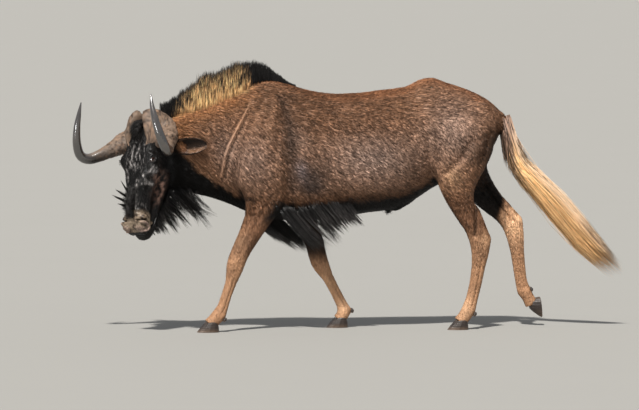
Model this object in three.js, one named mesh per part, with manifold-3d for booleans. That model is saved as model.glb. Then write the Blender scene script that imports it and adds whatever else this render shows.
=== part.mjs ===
// A black wildebeest bull as a still, life-size figure: walking, head low and turned to its left.
// Millimetres. +X runs towards the tail, +Y towards the animal's right side, +Z up, and the floor is z = 0.
// Every node is one closed solid. Nodes that touch keep a gap of TOUCH between their faces.

import * as THREE from "three";
import { mergeVertices } from "three/addons/utils/BufferGeometryUtils.js";
import Module from "manifold-3d";

const wasm = await Module();
wasm.setup();

// Driving sizes

const TOUCH = 0.35;
const WITHERS = 1175;
const HEAD_TURN = THREE.MathUtils.degToRad(45.8);
const HEAD_TILT = THREE.MathUtils.degToRad(15.1);
const HEAD_ROLL = THREE.MathUtils.degToRad(6.1);
const CROWN = new THREE.Vector3(-851, -80, 979);
const EYE_RADIUS = 21;
const LID = 4;
const HOOF_LENGTH = 104;
const HOOF_HEIGHT = 54;
const CLAW_WIDTH = 37;
const CLEFT = 5;

// Neck and trunk, as upright sections from the poll to the tail head. half is the half width, waist the
// height where the section is widest. ridge and keel say how blunt its upper and lower halves are, where 2 is
// an ellipse.

const TRUNK = [
  { x: -758, top: 915, bottom: 745, half: 45, waist: 835, ridge: 2, keel: 2 },
  { x: -728, top: 980, bottom: 672, half: 78, waist: 830, ridge: 1.9, keel: 2 },
  { x: -640, top: 1026, bottom: 644, half: 92, waist: 830, ridge: 1.7, keel: 2 },
  { x: -550, top: 1056, bottom: 626, half: 102, waist: 825, ridge: 1.6, keel: 2 },
  { x: -450, top: 1100, bottom: 596, half: 116, waist: 815, ridge: 1.55, keel: 2 },
  { x: -372, top: 1135, bottom: 564, half: 128, waist: 800, ridge: 1.5, keel: 2.1 },
  { x: -295, top: 1168, bottom: 532, half: 138, waist: 785, ridge: 1.5, keel: 2.1 },
  { x: -234, top: WITHERS, bottom: 516, half: 144, waist: 770, ridge: 1.5, keel: 2.1 },
  { x: -122, top: 1144, bottom: 506, half: 156, waist: 750, ridge: 1.65, keel: 2.1 },
  { x: -45, top: 1121, bottom: 508, half: 164, waist: 745, ridge: 1.8, keel: 2.1 },
  { x: 71, top: 1104, bottom: 518, half: 172, waist: 755, ridge: 1.95, keel: 2.15 },
  { x: 188, top: 1108, bottom: 536, half: 175, waist: 775, ridge: 2, keel: 2.15 },
  { x: 292, top: 1122, bottom: 548, half: 172, waist: 795, ridge: 1.95, keel: 2.15 },
  { x: 390, top: 1132, bottom: 562, half: 162, waist: 830, ridge: 1.85, keel: 2.1 },
  { x: 440, top: 1150, bottom: 592, half: 155, waist: 860, ridge: 1.8, keel: 2 },
  { x: 509, top: 1187, bottom: 640, half: 146, waist: 900, ridge: 1.75, keel: 2 },
  { x: 566, top: 1165, bottom: 672, half: 142, waist: 915, ridge: 1.8, keel: 2 },
  { x: 649, top: 1139, bottom: 700, half: 136, waist: 925, ridge: 1.85, keel: 2 },
  { x: 737, top: 1105, bottom: 742, half: 118, waist: 930, ridge: 1.9, keel: 2 },
  { x: 803, top: 1067, bottom: 815, half: 88, waist: 945, ridge: 2, keel: 2 },
  { x: 848, top: 1027, bottom: 892, half: 48, waist: 965, ridge: 2, keel: 2 },
  { x: 866, top: 1000, bottom: 930, half: 20, waist: 965, ridge: 2, keel: 2 },
];
const TRUNK_STEP = 56;
const TRUNK_SIDES = 22;

// The cut between neck and torso leans forward from the withers to the breast.
const NECK_CUT = { top: new THREE.Vector3(-275, 0, 1180), bottom: new THREE.Vector3(-462, 0, 560) };

const SHEATH = { centre: new THREE.Vector3(352, 0, 570), radii: new THREE.Vector3(44, 18, 24) };

// Legs. A limb's sizes are half its depth from front to back and half its width, the same left and right.
// Its pose is where each of those levels lies, as x and z, and how far out from the middle line.

const FORE_SIZES = {
  scapula: [62, 16],
  shoulder: [112, 38],
  point: [128, 52],
  arm: [126, 57],
  elbow: [104, 50],
  forearm: [66, 43],
  forearm_mid: [54, 38],
  forearm_low: [47, 34],
  knee_top: [45, 34],
  knee: [45, 35],
  knee_foot: [37, 30],
  cannon: [29, 23],
  cannon_mid: [27, 22],
  cannon_low: [28, 24],
  fetlock: [36, 31],
  pastern: [31, 29],
  coronet: [34, 32],
};
const HIND_SIZES = {
  hip: [110, 24],
  croup: [163, 56],
  thigh: [160, 68],
  thigh_low: [134, 70],
  stifle: [104, 60],
  gaskin: [74, 46],
  gaskin_mid: [60, 38],
  gaskin_low: [52, 31],
  hock: [55, 32],
  hock_foot: [43, 29],
  cannon: [35, 25],
  cannon_mid: [32, 23],
  cannon_low: [31, 24],
  fetlock: [36, 30],
  pastern: [31, 28],
  coronet: [34, 31],
};
const FORE_LEFT = {
  scapula: [-208, 1086, -56],
  shoulder: [-238, 940, -102],
  point: [-276, 795, -120],
  arm: [-284, 700, -122],
  elbow: [-268, 603, -116],
  forearm: [-305, 524, -112],
  forearm_mid: [-340, 455, -110],
  forearm_low: [-377, 385, -108],
  knee_top: [-397, 343, -108],
  knee: [-409, 306, -108],
  knee_foot: [-419, 266, -108],
  cannon: [-429, 228, -108],
  cannon_mid: [-450, 170, -108],
  cannon_low: [-466, 118, -108],
  fetlock: [-483, 82, -108],
  pastern: [-509, 56, -108],
  coronet: [-531, 34, -108],
};
const FORE_RIGHT = {
  scapula: [-190, 1086, 56],
  shoulder: [-195, 940, 102],
  point: [-205, 795, 120],
  arm: [-185, 700, 122],
  elbow: [-132, 603, 116],
  forearm: [-78, 530, 112],
  forearm_mid: [-40, 465, 110],
  forearm_low: [-8, 400, 108],
  knee_top: [4, 345, 108],
  knee: [17, 303, 108],
  knee_foot: [35, 270, 108],
  cannon: [56, 234, 108],
  cannon_mid: [89, 172, 108],
  cannon_low: [116, 118, 108],
  fetlock: [134, 82, 108],
  pastern: [122, 54, 108],
  coronet: [104, 34, 108],
};
const HIND_LEFT = {
  hip: [655, 1062, -64],
  croup: [668, 950, -92],
  thigh: [650, 850, -100],
  thigh_low: [638, 762, -106],
  stifle: [632, 690, -110],
  gaskin: [643, 620, -110],
  gaskin_mid: [677, 548, -109],
  gaskin_low: [717, 478, -108],
  hock: [743, 416, -108],
  hock_foot: [741, 352, -108],
  cannon: [733, 294, -108],
  cannon_mid: [720, 215, -108],
  cannon_low: [702, 142, -108],
  fetlock: [687, 92, -108],
  pastern: [663, 58, -108],
  coronet: [643, 34, -108],
};
const HIND_RIGHT = {
  hip: [655, 1062, 64],
  croup: [675, 950, 92],
  thigh: [675, 855, 100],
  thigh_low: [695, 770, 106],
  stifle: [728, 695, 110],
  gaskin: [785, 640, 110],
  gaskin_mid: [838, 582, 109],
  gaskin_low: [895, 530, 108],
  hock: [934, 484, 108],
  hock_foot: [949, 412, 108],
  cannon: [957, 348, 108],
  cannon_mid: [967, 268, 108],
  cannon_low: [976, 206, 108],
  fetlock: [989, 164, 108],
  pastern: [1008, 134, 108],
  coronet: [1027, 98, 108],
};
const LIMB_SIDES = 12;

// Where each hoof stands: the middle of its sole and its pitch, toe down. The right hind foot has just left
// the floor.
const HOOVES = {
  fore_left: { x: -530, y: -108, z: 0, pitch: 0, size: 1 },
  fore_right: { x: 104, y: 108, z: 0, pitch: 0, size: 1 },
  hind_left: { x: 642, y: -108, z: 0, pitch: 0, size: 0.96 },
  hind_right: { x: 1069, y: 108, z: 92, pitch: 96, size: 0.96 },
};
const DEWCLAW = { back: 33, down: 6, side: 15, radii: new THREE.Vector3(10, 8, 14) };

// The head in its own frame: s to the animal's left, d out of the face, n down the face to the muzzle.
// Skull sections run down the face. front and back are the depths of the section, waist where it is widest.

const SKULL = [
  { n: -42, front: -58, back: -112, half: 38, waist: -84, brow: 2, jaw: 2 },
  { n: -24, front: -28, back: -150, half: 62, waist: -84, brow: 2.3, jaw: 2.2 },
  { n: 20, front: -7, back: -186, half: 83, waist: -84, brow: 2.6, jaw: 2.2 },
  { n: 80, front: 3, back: -208, half: 91, waist: -78, brow: 2.8, jaw: 2.2 },
  { n: 140, front: 6, back: -206, half: 91, waist: -64, brow: 3, jaw: 2.1 },
  { n: 188, front: 6, back: -180, half: 86, waist: -56, brow: 3.1, jaw: 2 },
  { n: 240, front: 6, back: -150, half: 82, waist: -50, brow: 3.1, jaw: 2 },
  { n: 290, front: 9, back: -134, half: 67, waist: -50, brow: 2.9, jaw: 2 },
  { n: 340, front: 12, back: -122, half: 53, waist: -50, brow: 2.6, jaw: 2 },
  { n: 400, front: 12, back: -112, half: 51, waist: -50, brow: 2.5, jaw: 2.1 },
  { n: 445, front: 7, back: -104, half: 58, waist: -48, brow: 2.6, jaw: 2.2 },
  { n: 480, front: -3, back: -98, half: 64, waist: -50, brow: 2.8, jaw: 2.3 },
  { n: 508, front: -17, back: -92, half: 60, waist: -54, brow: 2.6, jaw: 2.3 },
  { n: 527, front: -38, back: -82, half: 42, waist: -60, brow: 2.2, jaw: 2 },
];
const SKULL_STEP = 32;
const SKULL_SIDES = 18;

// The lower jaw, from under the ear round its angle to the chin: half depth across the bone and half width.
const JAW = [
  { s: 0, d: -150, n: 105, depth: 44, width: 66 },
  { s: 0, d: -172, n: 180, depth: 62, width: 76 },
  { s: 0, d: -170, n: 250, depth: 62, width: 72 },
  { s: 0, d: -150, n: 320, depth: 48, width: 57 },
  { s: 0, d: -132, n: 390, depth: 40, width: 48 },
  { s: 0, d: -120, n: 450, depth: 36, width: 48 },
  { s: 0, d: -108, n: 496, depth: 34, width: 50 },
  { s: 0, d: -97, n: 523, depth: 26, width: 40 },
  { s: 0, d: -88, n: 537, depth: 12, width: 24 },
];

// Horns: middle line, half breadth along the face and half thickness, from the boss to the tip.
const HORN = [
  { s: 26, d: -14, n: 34, depth: 34, width: 66 },
  { s: 36, d: -20, n: 32, depth: 42, width: 92 },
  { s: 52, d: -38, n: 36, depth: 42, width: 100 },
  { s: 76, d: -67, n: 46, depth: 42, width: 88 },
  { s: 104, d: -70, n: 66, depth: 44, width: 66 },
  { s: 133, d: -48, n: 89, depth: 44, width: 54 },
  { s: 166, d: -16, n: 121, depth: 36, width: 35 },
  { s: 201, d: 22, n: 154, depth: 28, width: 27 },
  { s: 234, d: 62, n: 176, depth: 24.5, width: 25 },
  { s: 249, d: 104, n: 167, depth: 22.5, width: 23 },
  { s: 245, d: 140, n: 120, depth: 20, width: 21 },
  { s: 231, d: 165, n: 54, depth: 16, width: 17 },
  { s: 216, d: 177, n: -6, depth: 10.5, width: 10.5 },
  { s: 206, d: 181, n: -62, depth: 2.5, width: 2.5 },
];
const HORN_SIDES = 10;

const EYE = { s: 76, d: -17, n: 188 };
const EYE_LOOK = { s: 0.88, d: 0.45, n: 0.1 };
const EYE_SLIT = { s: -0.1, d: 0.72, n: 0.66 };
const EAR_ROOT = { s: 64, d: -138, n: 102 };
const EAR_LIE = { s: 0.97, d: -0.26, n: -0.05 };
const EAR_OPEN = { s: 0.2, d: 0.92, n: 0.3 };
const EAR_LENGTH = 194;
const EAR_DROOP = 14;
const EAR = [
  { t: 0, half: 24, cup: 18, wall: 17 },
  { t: 0.16, half: 29, cup: 20, wall: 15 },
  { t: 0.32, half: 37, cup: 21, wall: 6 },
  { t: 0.52, half: 39, cup: 18, wall: 4.5 },
  { t: 0.72, half: 32, cup: 12, wall: 4 },
  { t: 0.88, half: 19, cup: 7, wall: 3 },
  { t: 1, half: 4, cup: 2, wall: 2 },
];
const NOSTRIL = [
  { s: 30, d: 6, n: 462, depth: 3, width: 3 },
  { s: 46, d: 2, n: 462, depth: 6, width: 6 },
  { s: 62, d: -12, n: 470, depth: 8, width: 8 },
  { s: 66, d: -28, n: 484, depth: 6, width: 6 },
  { s: 62, d: -40, n: 496, depth: 3, width: 3 },
];
const MOUTH = {
  corner: { d: -128, n: 436 },
  front: { d: -66, n: 530 },
  gape: 4,
  depth: 11,
  within: [
    { s: 0, d: -160, n: 400, depth: 40, width: 60 },
    { s: 0, d: -120, n: 436, depth: 44, width: 46 },
    { s: 0, d: -92, n: 490, depth: 44, width: 50 },
    { s: 0, d: -78, n: 520, depth: 40, width: 32 },
  ],
};

// The dock of the tail: middle line with half depth and half width.
const DOCK = [
  { x: 806, y: 0, z: 1000, depth: 34, width: 34 },
  { x: 850, y: 0, z: 992, depth: 31, width: 32 },
  { x: 879, y: 0, z: 950, depth: 27, width: 28 },
  { x: 900, y: 0, z: 880, depth: 24, width: 24 },
  { x: 922, y: 0, z: 810, depth: 21, width: 21 },
  { x: 952, y: 0, z: 745, depth: 18, width: 18 },
  { x: 990, y: 0, z: 695, depth: 12, width: 12 },
];

// Long hair. Stations run over each strip of roots and give where the tips reach.

const MANE = [
  { x: -724, tip: 1050 },
  { x: -706, tip: 1086 },
  { x: -680, tip: 1110 },
  { x: -632, tip: 1142 },
  { x: -585, tip: 1188 },
  { x: -520, tip: 1224 },
  { x: -445, tip: 1246 },
  { x: -375, tip: 1264 },
  { x: -300, tip: 1266 },
  { x: -262, tip: 1248 },
  { x: -228, tip: 1206 },
  { x: -174, tip: 1176 },
  { x: -122, tip: 1156 },
];
const RUFF = [
  { x: -322, tip: 500 },
  { x: -272, tip: 449 },
  { x: -174, tip: 400 },
  { x: -84, tip: 350 },
  { x: 10, tip: 380 },
  { x: 80, tip: 430 },
  { x: 150, tip: 505 },
  { x: 188, tip: 537 },
];
const BEARD = [
  { t: 0, s: 0, d: -124, n: 478, reach: 44, back: 0.3 },
  { t: 1, s: 0, d: -156, n: 425, reach: 92, back: 0.34 },
  { t: 2, s: 0, d: -184, n: 360, reach: 148, back: 0.4 },
  { t: 3, s: 5, d: -210, n: 300, reach: 190, back: 0.5 },
  { t: 4, s: 30, d: -250, n: 272, reach: 204, back: 0.5 },
  { t: 5, s: 64, d: -288, n: 276, reach: 190, back: 0.32 },
];
const BRUSH = { top: 330, foot: 458, skin: 8, reach: 116 };

// How each strip is planted: rows of locks out from its middle line, locks in a row, a lock's half width and
// half thickness, and the half width of the close hair under them at the skin and at its edge.
const PLANTING = {
  mane: { seed: 11, rows: [-26, 0, 26], count: 12, width: 28, thick: 9, foot: 20, edge: 7 },
  ruff: { seed: 23, rows: [-38, 0, 38], count: 7, width: 32, thick: 11, foot: 28, edge: 10 },
  beard: { seed: 37, rows: [-27, 0, 27], count: 6, width: 22, thick: 8, foot: 22, edge: 8 },
  brush: { seed: 41, rows: [-16, 0, 16], count: 3, width: 15, thick: 7, foot: 14, edge: 6 },
};
const CORE_SHARE = 0.45;
const CORE_RINGS = 12;
const LOCK_SUNK = 14;
const CORE_SUNK = 30;

const TAIL = [
  { t: 0, x: 880, z: 972, spread: 20, thick: 16 },
  { t: 1, x: 897, z: 914, spread: 27, thick: 20 },
  { t: 2, x: 923, z: 812, spread: 34, thick: 26 },
  { t: 3, x: 958, z: 741, spread: 43, thick: 32 },
  { t: 4, x: 1034, z: 667, spread: 55, thick: 38 },
  { t: 5, x: 1110, z: 588, spread: 62, thick: 42 },
  { t: 6, x: 1188, z: 496, spread: 66, thick: 42 },
  { t: 7, x: 1267, z: 400, spread: 64, thick: 38 },
  { t: 8, x: 1342, z: 330, spread: 52, thick: 30 },
  { t: 9, x: 1432, z: 248, spread: 26, thick: 14 },
];
const TAIL_LOCKS = { count: 14, width: 24, thick: 10, rings: 5 };
const TAIL_CORE = { share: 0.62, end: 6.5, sides: 8 };

// Small tools

function seededDraw(seed) {
  let state = seed;
  return (low = 0, high = 1) => {
    state = (state * 1664525 + 1013904223) % 4294967296;
    return low + ((high - low) * state) / 4294967296;
  };
}

// The station at a place along a list of stations, with every number eased between its neighbours.
function stationAt(stations, key, at) {
  const last = stations.length - 1;
  let i = 0;
  while (i < last - 1 && stations[i + 1][key] < at) {
    i += 1;
  }
  const [a, b] = [stations[i], stations[i + 1]];
  const span = b[key] - a[key];
  const t = THREE.MathUtils.clamp((at - a[key]) / span, 0, 1);
  const slope = (p, q, name) => (q[name] - p[name]) / (q[key] - p[key]);
  const tangent = (k, name) => {
    if (k === 0 || k === last) {
      return slope(stations[Math.max(k - 1, 0)], stations[Math.min(k + 1, last)], name);
    }
    const before = slope(stations[k - 1], stations[k], name);
    const after = slope(stations[k], stations[k + 1], name);
    return before * after <= 0 ? 0 : (2 * before * after) / (before + after);
  };
  const eased = {};
  for (const name of Object.keys(a)) {
    const m0 = tangent(i, name) * span;
    const m1 = tangent(i + 1, name) * span;
    const t2 = t * t;
    const t3 = t2 * t;
    const between = (2 * t3 - 3 * t2 + 1) * a[name] + (-2 * t3 + 3 * t2) * b[name];
    eased[name] = between + (t3 - 2 * t2 + t) * m0 + (t3 - t2) * m1;
  }
  eased[key] = at;
  return eased;
}

function power(value, exponent) {
  return Math.sign(value) * Math.abs(value) ** exponent;
}

// A closed skin over rings of points that match one to one. A lone last point makes a pointed end.
function loft(rings, tip = null) {
  const sides = rings[0].length;
  const points = rings.flat();
  const faces = [];
  const middle = (ring) => ring.reduce((sum, p) => sum.add(p), new THREE.Vector3()).divideScalar(sides);
  for (let r = 0; r < rings.length - 1; r += 1) {
    for (let k = 0; k < sides; k += 1) {
      const next = (k + 1) % sides;
      const [a, b, c, d] = [r * sides + k, r * sides + next, (r + 1) * sides + next, (r + 1) * sides + k];
      const direct = points[a].distanceTo(points[c]) <= points[b].distanceTo(points[d]);
      faces.push(...(direct ? [a, b, c, a, c, d] : [a, b, d, b, c, d]));
    }
  }
  const ends = [
    { at: 0, point: middle(rings[0]), turn: false },
    { at: (rings.length - 1) * sides, point: tip ?? middle(rings.at(-1)), turn: true },
  ];
  for (const { at, point, turn } of ends) {
    const centre = points.push(point) - 1;
    for (let k = 0; k < sides; k += 1) {
      const [a, b] = [at + k, at + ((k + 1) % sides)];
      faces.push(...(turn ? [a, b, centre] : [b, a, centre]));
    }
  }
  const geometry = new THREE.BufferGeometry();
  geometry.setAttribute("position", new THREE.Float32BufferAttribute(points.flatMap((p) => p.toArray()), 3));
  geometry.setIndex(faces);
  return geometry;
}

function signedVolume(geometry) {
  const p = geometry.getAttribute("position");
  const index = geometry.getIndex();
  const [a, b, c] = [new THREE.Vector3(), new THREE.Vector3(), new THREE.Vector3()];
  let sum = 0;
  for (let i = 0; i < index.count; i += 3) {
    a.fromBufferAttribute(p, index.getX(i));
    b.fromBufferAttribute(p, index.getX(i + 1));
    c.fromBufferAttribute(p, index.getX(i + 2));
    sum += a.dot(b.cross(c));
  }
  return sum / 6;
}

// A closed geometry as a solid for joining and cutting, with its faces turned outward.
function solid(geometry) {
  const bare = geometry.clone();
  bare.deleteAttribute("normal");
  bare.deleteAttribute("uv");
  const merged = mergeVertices(bare, 1e-4);
  const faces = Array.from(merged.getIndex().array);
  if (signedVolume(merged) < 0) {
    for (let i = 0; i < faces.length; i += 3) {
      [faces[i], faces[i + 1]] = [faces[i + 1], faces[i]];
    }
  }
  return new wasm.Manifold(
    new wasm.Mesh({
      numProp: 3,
      vertProperties: new Float32Array(merged.getAttribute("position").array),
      triVerts: new Uint32Array(faces),
    }),
  );
}

function join(solids) {
  return solids.reduce((sum, next) => sum.add(next));
}

function cut(body, tools) {
  return tools.reduce((rest, tool) => rest.subtract(tool), body);
}

// The largest closed surface of a solid, which drops loose scraps and fills sealed hollows.
function largest(body) {
  const pieces = body.decompose();
  return pieces.reduce((best, piece) => (Math.abs(piece.volume()) > Math.abs(best.volume()) ? piece : best));
}

function geometryOf(body) {
  const mesh = body.getMesh();
  const geometry = new THREE.BufferGeometry();
  geometry.setAttribute("position", new THREE.Float32BufferAttribute(Array.from(mesh.vertProperties), 3));
  geometry.setIndex(Array.from(mesh.triVerts));
  geometry.computeVertexNormals();
  return geometry;
}

function ball(centre, radii, axes = new THREE.Matrix4(), around = 16) {
  const sphere = new THREE.SphereGeometry(1, around, Math.round(around / 2));
  sphere.scale(radii.x, radii.y, radii.z);
  sphere.applyMatrix4(axes);
  sphere.translate(centre.x, centre.y, centre.z);
  return solid(sphere);
}

// Neck and trunk

function trunkPoint(x, angle, grow = 0) {
  const at = stationAt(TRUNK, "x", x);
  const [c, s] = [Math.cos(angle), Math.sin(angle)];
  const blunt = s > 0 ? at.ridge : at.keel;
  const reach = s > 0 ? at.top - at.waist : at.waist - at.bottom;
  const y = (at.half + grow) * power(c, 2 / blunt);
  const z = at.waist + (reach + grow) * power(s, 2 / blunt);
  return new THREE.Vector3(x, y, z);
}

function trunkForm(grow = 0) {
  const [front, rear] = [TRUNK[0].x, TRUNK.at(-1).x];
  const steps = Math.ceil((rear - front) / TRUNK_STEP);
  const rings = [];
  for (let i = 0; i <= steps; i += 1) {
    const eased = 0.5 - 0.5 * Math.cos((Math.PI * i) / steps);
    const x = THREE.MathUtils.lerp(front, rear, THREE.MathUtils.lerp(i / steps, eased, 0.35));
    const ring = [];
    for (let k = 0; k < TRUNK_SIDES; k += 1) {
      ring.push(trunkPoint(x, (2 * Math.PI * k) / TRUNK_SIDES, grow));
    }
    rings.push(ring);
  }
  return solid(loft(rings));
}

// Limbs, horns, jaw and dock are tubes along a line. Each section stands square to the line and its width
// keeps to one side, so that depth is measured from front to back.

function tube(stations, sides, steps, grow = 0, side = new THREE.Vector3(0, 1, 0), carry = false) {
  const middles = stations.map((p) => new THREE.Vector3(p.x, p.y, p.z));
  const line = new THREE.CatmullRomCurve3(middles, false, "centripetal");
  const sized = stations.map((p, i) => ({ i, depth: p.depth, width: p.width }));
  const last = stations.length - 1;
  const rings = [];
  let across = side.clone();
  for (let k = 0; k <= last * steps; k += 1) {
    const t = k / (last * steps);
    const tangent = line.getTangent(t);
    const beyond = (k === last * steps ? grow : 0) - (k === 0 ? grow : 0);
    const centre = line.getPoint(t).addScaledVector(tangent, beyond);
    const size = stationAt(sized, "i", t * last);
    const reference = carry ? across : side;
    across = reference.clone().addScaledVector(tangent, -reference.dot(tangent)).normalize();
    const forward = new THREE.Vector3().crossVectors(tangent, across);
    const ring = [];
    for (let j = 0; j < sides; j += 1) {
      const angle = (2 * Math.PI * j) / sides;
      ring.push(
        centre
          .clone()
          .addScaledVector(across, (size.width + grow) * Math.cos(angle))
          .addScaledVector(forward, (size.depth + grow) * Math.sin(angle)),
      );
    }
    rings.push(ring);
  }
  return solid(loft(rings));
}

function limb(pose, sizes, grow = 0) {
  const stations = Object.keys(sizes).map((level) => ({
    x: pose[level][0],
    y: pose[level][2],
    z: pose[level][1],
    depth: sizes[level][0],
    width: sizes[level][1],
  }));
  return tube(stations, LIMB_SIDES, 1, grow);
}

// The head frame

const FACING = new THREE.Vector3(-Math.cos(HEAD_TURN), -Math.sin(HEAD_TURN), 0);
const UP = new THREE.Vector3(0, 0, 1);
const LEFT = new THREE.Vector3().crossVectors(UP, FACING);
const [level, upright] = [Math.sin(HEAD_TILT), Math.cos(HEAD_TILT)];
const DOWN_FACE = UP.clone().multiplyScalar(-upright).addScaledVector(FACING, level);
const OUT_OF_FACE = FACING.clone().multiplyScalar(upright).addScaledVector(UP, level);
for (const axis of [LEFT, DOWN_FACE, OUT_OF_FACE]) {
  axis.applyAxisAngle(FACING, HEAD_ROLL);
}
const HEAD_AXES = new THREE.Matrix4().makeBasis(LEFT, OUT_OF_FACE, DOWN_FACE);

function headLie({ s, d, n }, side = 1) {
  return new THREE.Vector3(s * side, d, n).applyMatrix4(HEAD_AXES);
}

function headPlace(place, side = 1) {
  return headLie(place, side).add(CROWN);
}

function headBall(place, radii, side = 1, around = 10) {
  return ball(headPlace(place, side), new THREE.Vector3(radii.s, radii.d, radii.n), HEAD_AXES, around);
}

function skullPoint(n, angle, grow = 0) {
  const at = stationAt(SKULL, "n", n);
  const [c, s] = [Math.cos(angle), Math.sin(angle)];
  const blunt = s > 0 ? at.brow : at.jaw;
  const reach = s > 0 ? at.front - at.waist : at.waist - at.back;
  const across = (at.half + grow) * power(c, 2 / blunt);
  return headPlace({ s: across, d: at.waist + (reach + grow) * power(s, 2 / blunt), n });
}

function skullForm(grow = 0) {
  const [top, muzzle] = [SKULL[0].n, SKULL.at(-1).n];
  const steps = Math.ceil((muzzle - top) / SKULL_STEP);
  const rings = [];
  for (let i = 0; i <= steps; i += 1) {
    const n = THREE.MathUtils.lerp(top, muzzle, i / steps);
    const ring = [];
    for (let k = 0; k < SKULL_SIDES; k += 1) {
      ring.push(skullPoint(n, (2 * Math.PI * k) / SKULL_SIDES, grow));
    }
    rings.push(ring);
  }
  return solid(loft(rings));
}

function headTube(stations, sides, steps, grow = 0, side = 1, across = { s: 1, d: 0, n: 0 }, carry = false) {
  const placed = stations.map((p) => {
    const place = headPlace(p, side);
    return { x: place.x, y: place.y, z: place.z, depth: p.depth, width: p.width };
  });
  return tube(placed, sides, steps, grow, headLie(across, side), carry);
}

function headForm(grow = 0) {
  const pieces = [skullForm(grow), headTube(JAW, 12, 1, grow)];
  for (const side of [1, -1]) {
    pieces.push(headBall({ s: 65, d: -24, n: 184 }, { s: 32 + grow, d: 36 + grow, n: 50 + grow }, side));
    pieces.push(headBall({ s: 56, d: -148, n: 215 }, { s: 27 + grow, d: 58 + grow, n: 78 + grow }, side));
    pieces.push(headBall({ s: 42, d: -27, n: 472 }, { s: 28 + grow, d: 27 + grow, n: 38 + grow }, side));
  }
  return join(pieces);
}

// Eyes, lids, nostrils and mouth

function headCuts() {
  const cuts = [];
  for (const side of [1, -1]) {
    cuts.push(headTube(NOSTRIL, 8, 2, 0, side));
  }
  const { corner, front, gape, depth } = MOUTH;
  const length = Math.hypot(front.d - corner.d, front.n - corner.n) + 2 * depth;
  const blade = new THREE.BoxGeometry(200, gape, length);
  blade.rotateX(-Math.atan2(front.d - corner.d, front.n - corner.n));
  blade.translate(0, (corner.d + front.d) / 2, (corner.n + front.n) / 2);
  blade.applyMatrix4(HEAD_AXES);
  blade.translate(...CROWN.toArray());
  const tongue = headTube(MOUTH.within, 8, 1);
  cuts.push(solid(blade).subtract(tongue));
  return cuts;
}

function lidCone(side) {
  const look = headLie(EYE_LOOK, side).normalize();
  const slit = headLie(EYE_SLIT, side);
  slit.addScaledVector(look, -slit.dot(look)).normalize();
  const up = new THREE.Vector3().crossVectors(look, slit);
  const centre = headPlace(EYE, side);
  const rings = [0.3, 2].map((reach) => {
    const ring = [];
    for (let k = 0; k < 12; k += 1) {
      const angle = (2 * Math.PI * k) / 12;
      const pointed = Math.abs(Math.sin(angle)) ** 1.3 * Math.sign(Math.sin(angle));
      ring.push(
        centre
          .clone()
          .addScaledVector(look, EYE_RADIUS * reach)
          .addScaledVector(slit, EYE_RADIUS * 1.02 * reach * Math.cos(angle))
          .addScaledVector(up, EYE_RADIUS * 0.58 * reach * pointed),
      );
    }
    return ring;
  });
  return solid(loft(rings));
}

function eyeball(side, grow = 0) {
  const radius = EYE_RADIUS + grow;
  return headBall(EYE, { s: radius, d: radius, n: radius }, side, 12);
}

function carvedHead() {
  let head = headForm();
  for (const side of [1, -1]) {
    head = head.add(eyeball(side, LID)).subtract(lidCone(side)).subtract(eyeball(side, TOUCH));
  }
  return cut(head, headCuts());
}

// Ears: a pointed cup, one crescent section after another, with its open side turned to the front.

function ear(side) {
  const lie = headLie(EAR_LIE, side).normalize();
  const open = headLie(EAR_OPEN, side);
  open.addScaledVector(lie, -open.dot(lie)).normalize();
  const across = new THREE.Vector3().crossVectors(lie, open);
  const arc = 7;
  const rings = EAR.map(({ t, half, cup, wall }) => {
    const centre = headPlace(EAR_ROOT, side)
      .addScaledVector(lie, EAR_LENGTH * t)
      .addScaledVector(open, -EAR_DROOP * t * t);
    const edge = (reach, depth) => {
      const points = [];
      for (let k = 0; k < arc; k += 1) {
        const angle = Math.PI * (k / (arc - 1));
        points.push(
          centre
            .clone()
            .addScaledVector(across, reach * Math.cos(angle))
            .addScaledVector(open, -depth * Math.sin(angle)),
        );
      }
      return points;
    };
    const rim = edge(half - wall * 0.7, cup - wall).map((p) => p.addScaledVector(open, wall * 0.5));
    return [...edge(half, cup), ...rim.reverse()];
  });
  return solid(loft(rings));
}

// Hooves: each foot stands on two claws with a cleft between them, and has two dewclaws behind the fetlock.

function claw({ x, y, z, pitch, size }, side) {
  const levels = [
    { h: 0, toe: 0.56, heel: -0.44, wide: 1 },
    { h: 0.4, toe: 0.4, heel: -0.43, wide: 0.98 },
    { h: 0.82, toe: 0.2, heel: -0.38, wide: 0.88 },
    { h: 1, toe: 0.08, heel: -0.3, wide: 0.66 },
  ];
  const rings = levels.map(({ h, toe, heel, wide }) => {
    const middle = (HOOF_LENGTH * (toe + heel)) / 2;
    const reach = (HOOF_LENGTH * (toe - heel)) / 2;
    const ring = [];
    for (let k = 0; k <= 6; k += 1) {
      const angle = (Math.PI * k) / 6;
      const out = CLEFT / 2 + CLAW_WIDTH * wide * Math.sin(angle) ** 0.75;
      ring.push(new THREE.Vector3(-(middle + reach * Math.cos(angle)), side * out, h * HOOF_HEIGHT));
    }
    ring.push(new THREE.Vector3(-(middle - reach * 0.4), (side * CLEFT) / 2, h * HOOF_HEIGHT));
    ring.push(new THREE.Vector3(-(middle + reach * 0.4), (side * CLEFT) / 2, h * HOOF_HEIGHT));
    return ring;
  });
  const geometry = loft(rings);
  geometry.scale(size, size, size);
  geometry.rotateY(THREE.MathUtils.degToRad(-pitch));
  geometry.translate(x, y, z);
  return solid(geometry);
}

function dewclaw(pose, side) {
  const [low, high] = [pose.pastern, pose.cannon_low];
  const run = new THREE.Vector3(low[0] - high[0], 0, low[1] - high[1]).normalize();
  const back = new THREE.Vector3(-run.z, 0, run.x);
  const centre = new THREE.Vector3(pose.fetlock[0], pose.fetlock[2] + side * DEWCLAW.side, pose.fetlock[1])
    .addScaledVector(back, DEWCLAW.back)
    .addScaledVector(run, DEWCLAW.down);
  const axes = new THREE.Matrix4().makeBasis(back, new THREE.Vector3(0, 1, 0), run);
  return ball(centre, DEWCLAW.radii, axes, 6);
}

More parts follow.
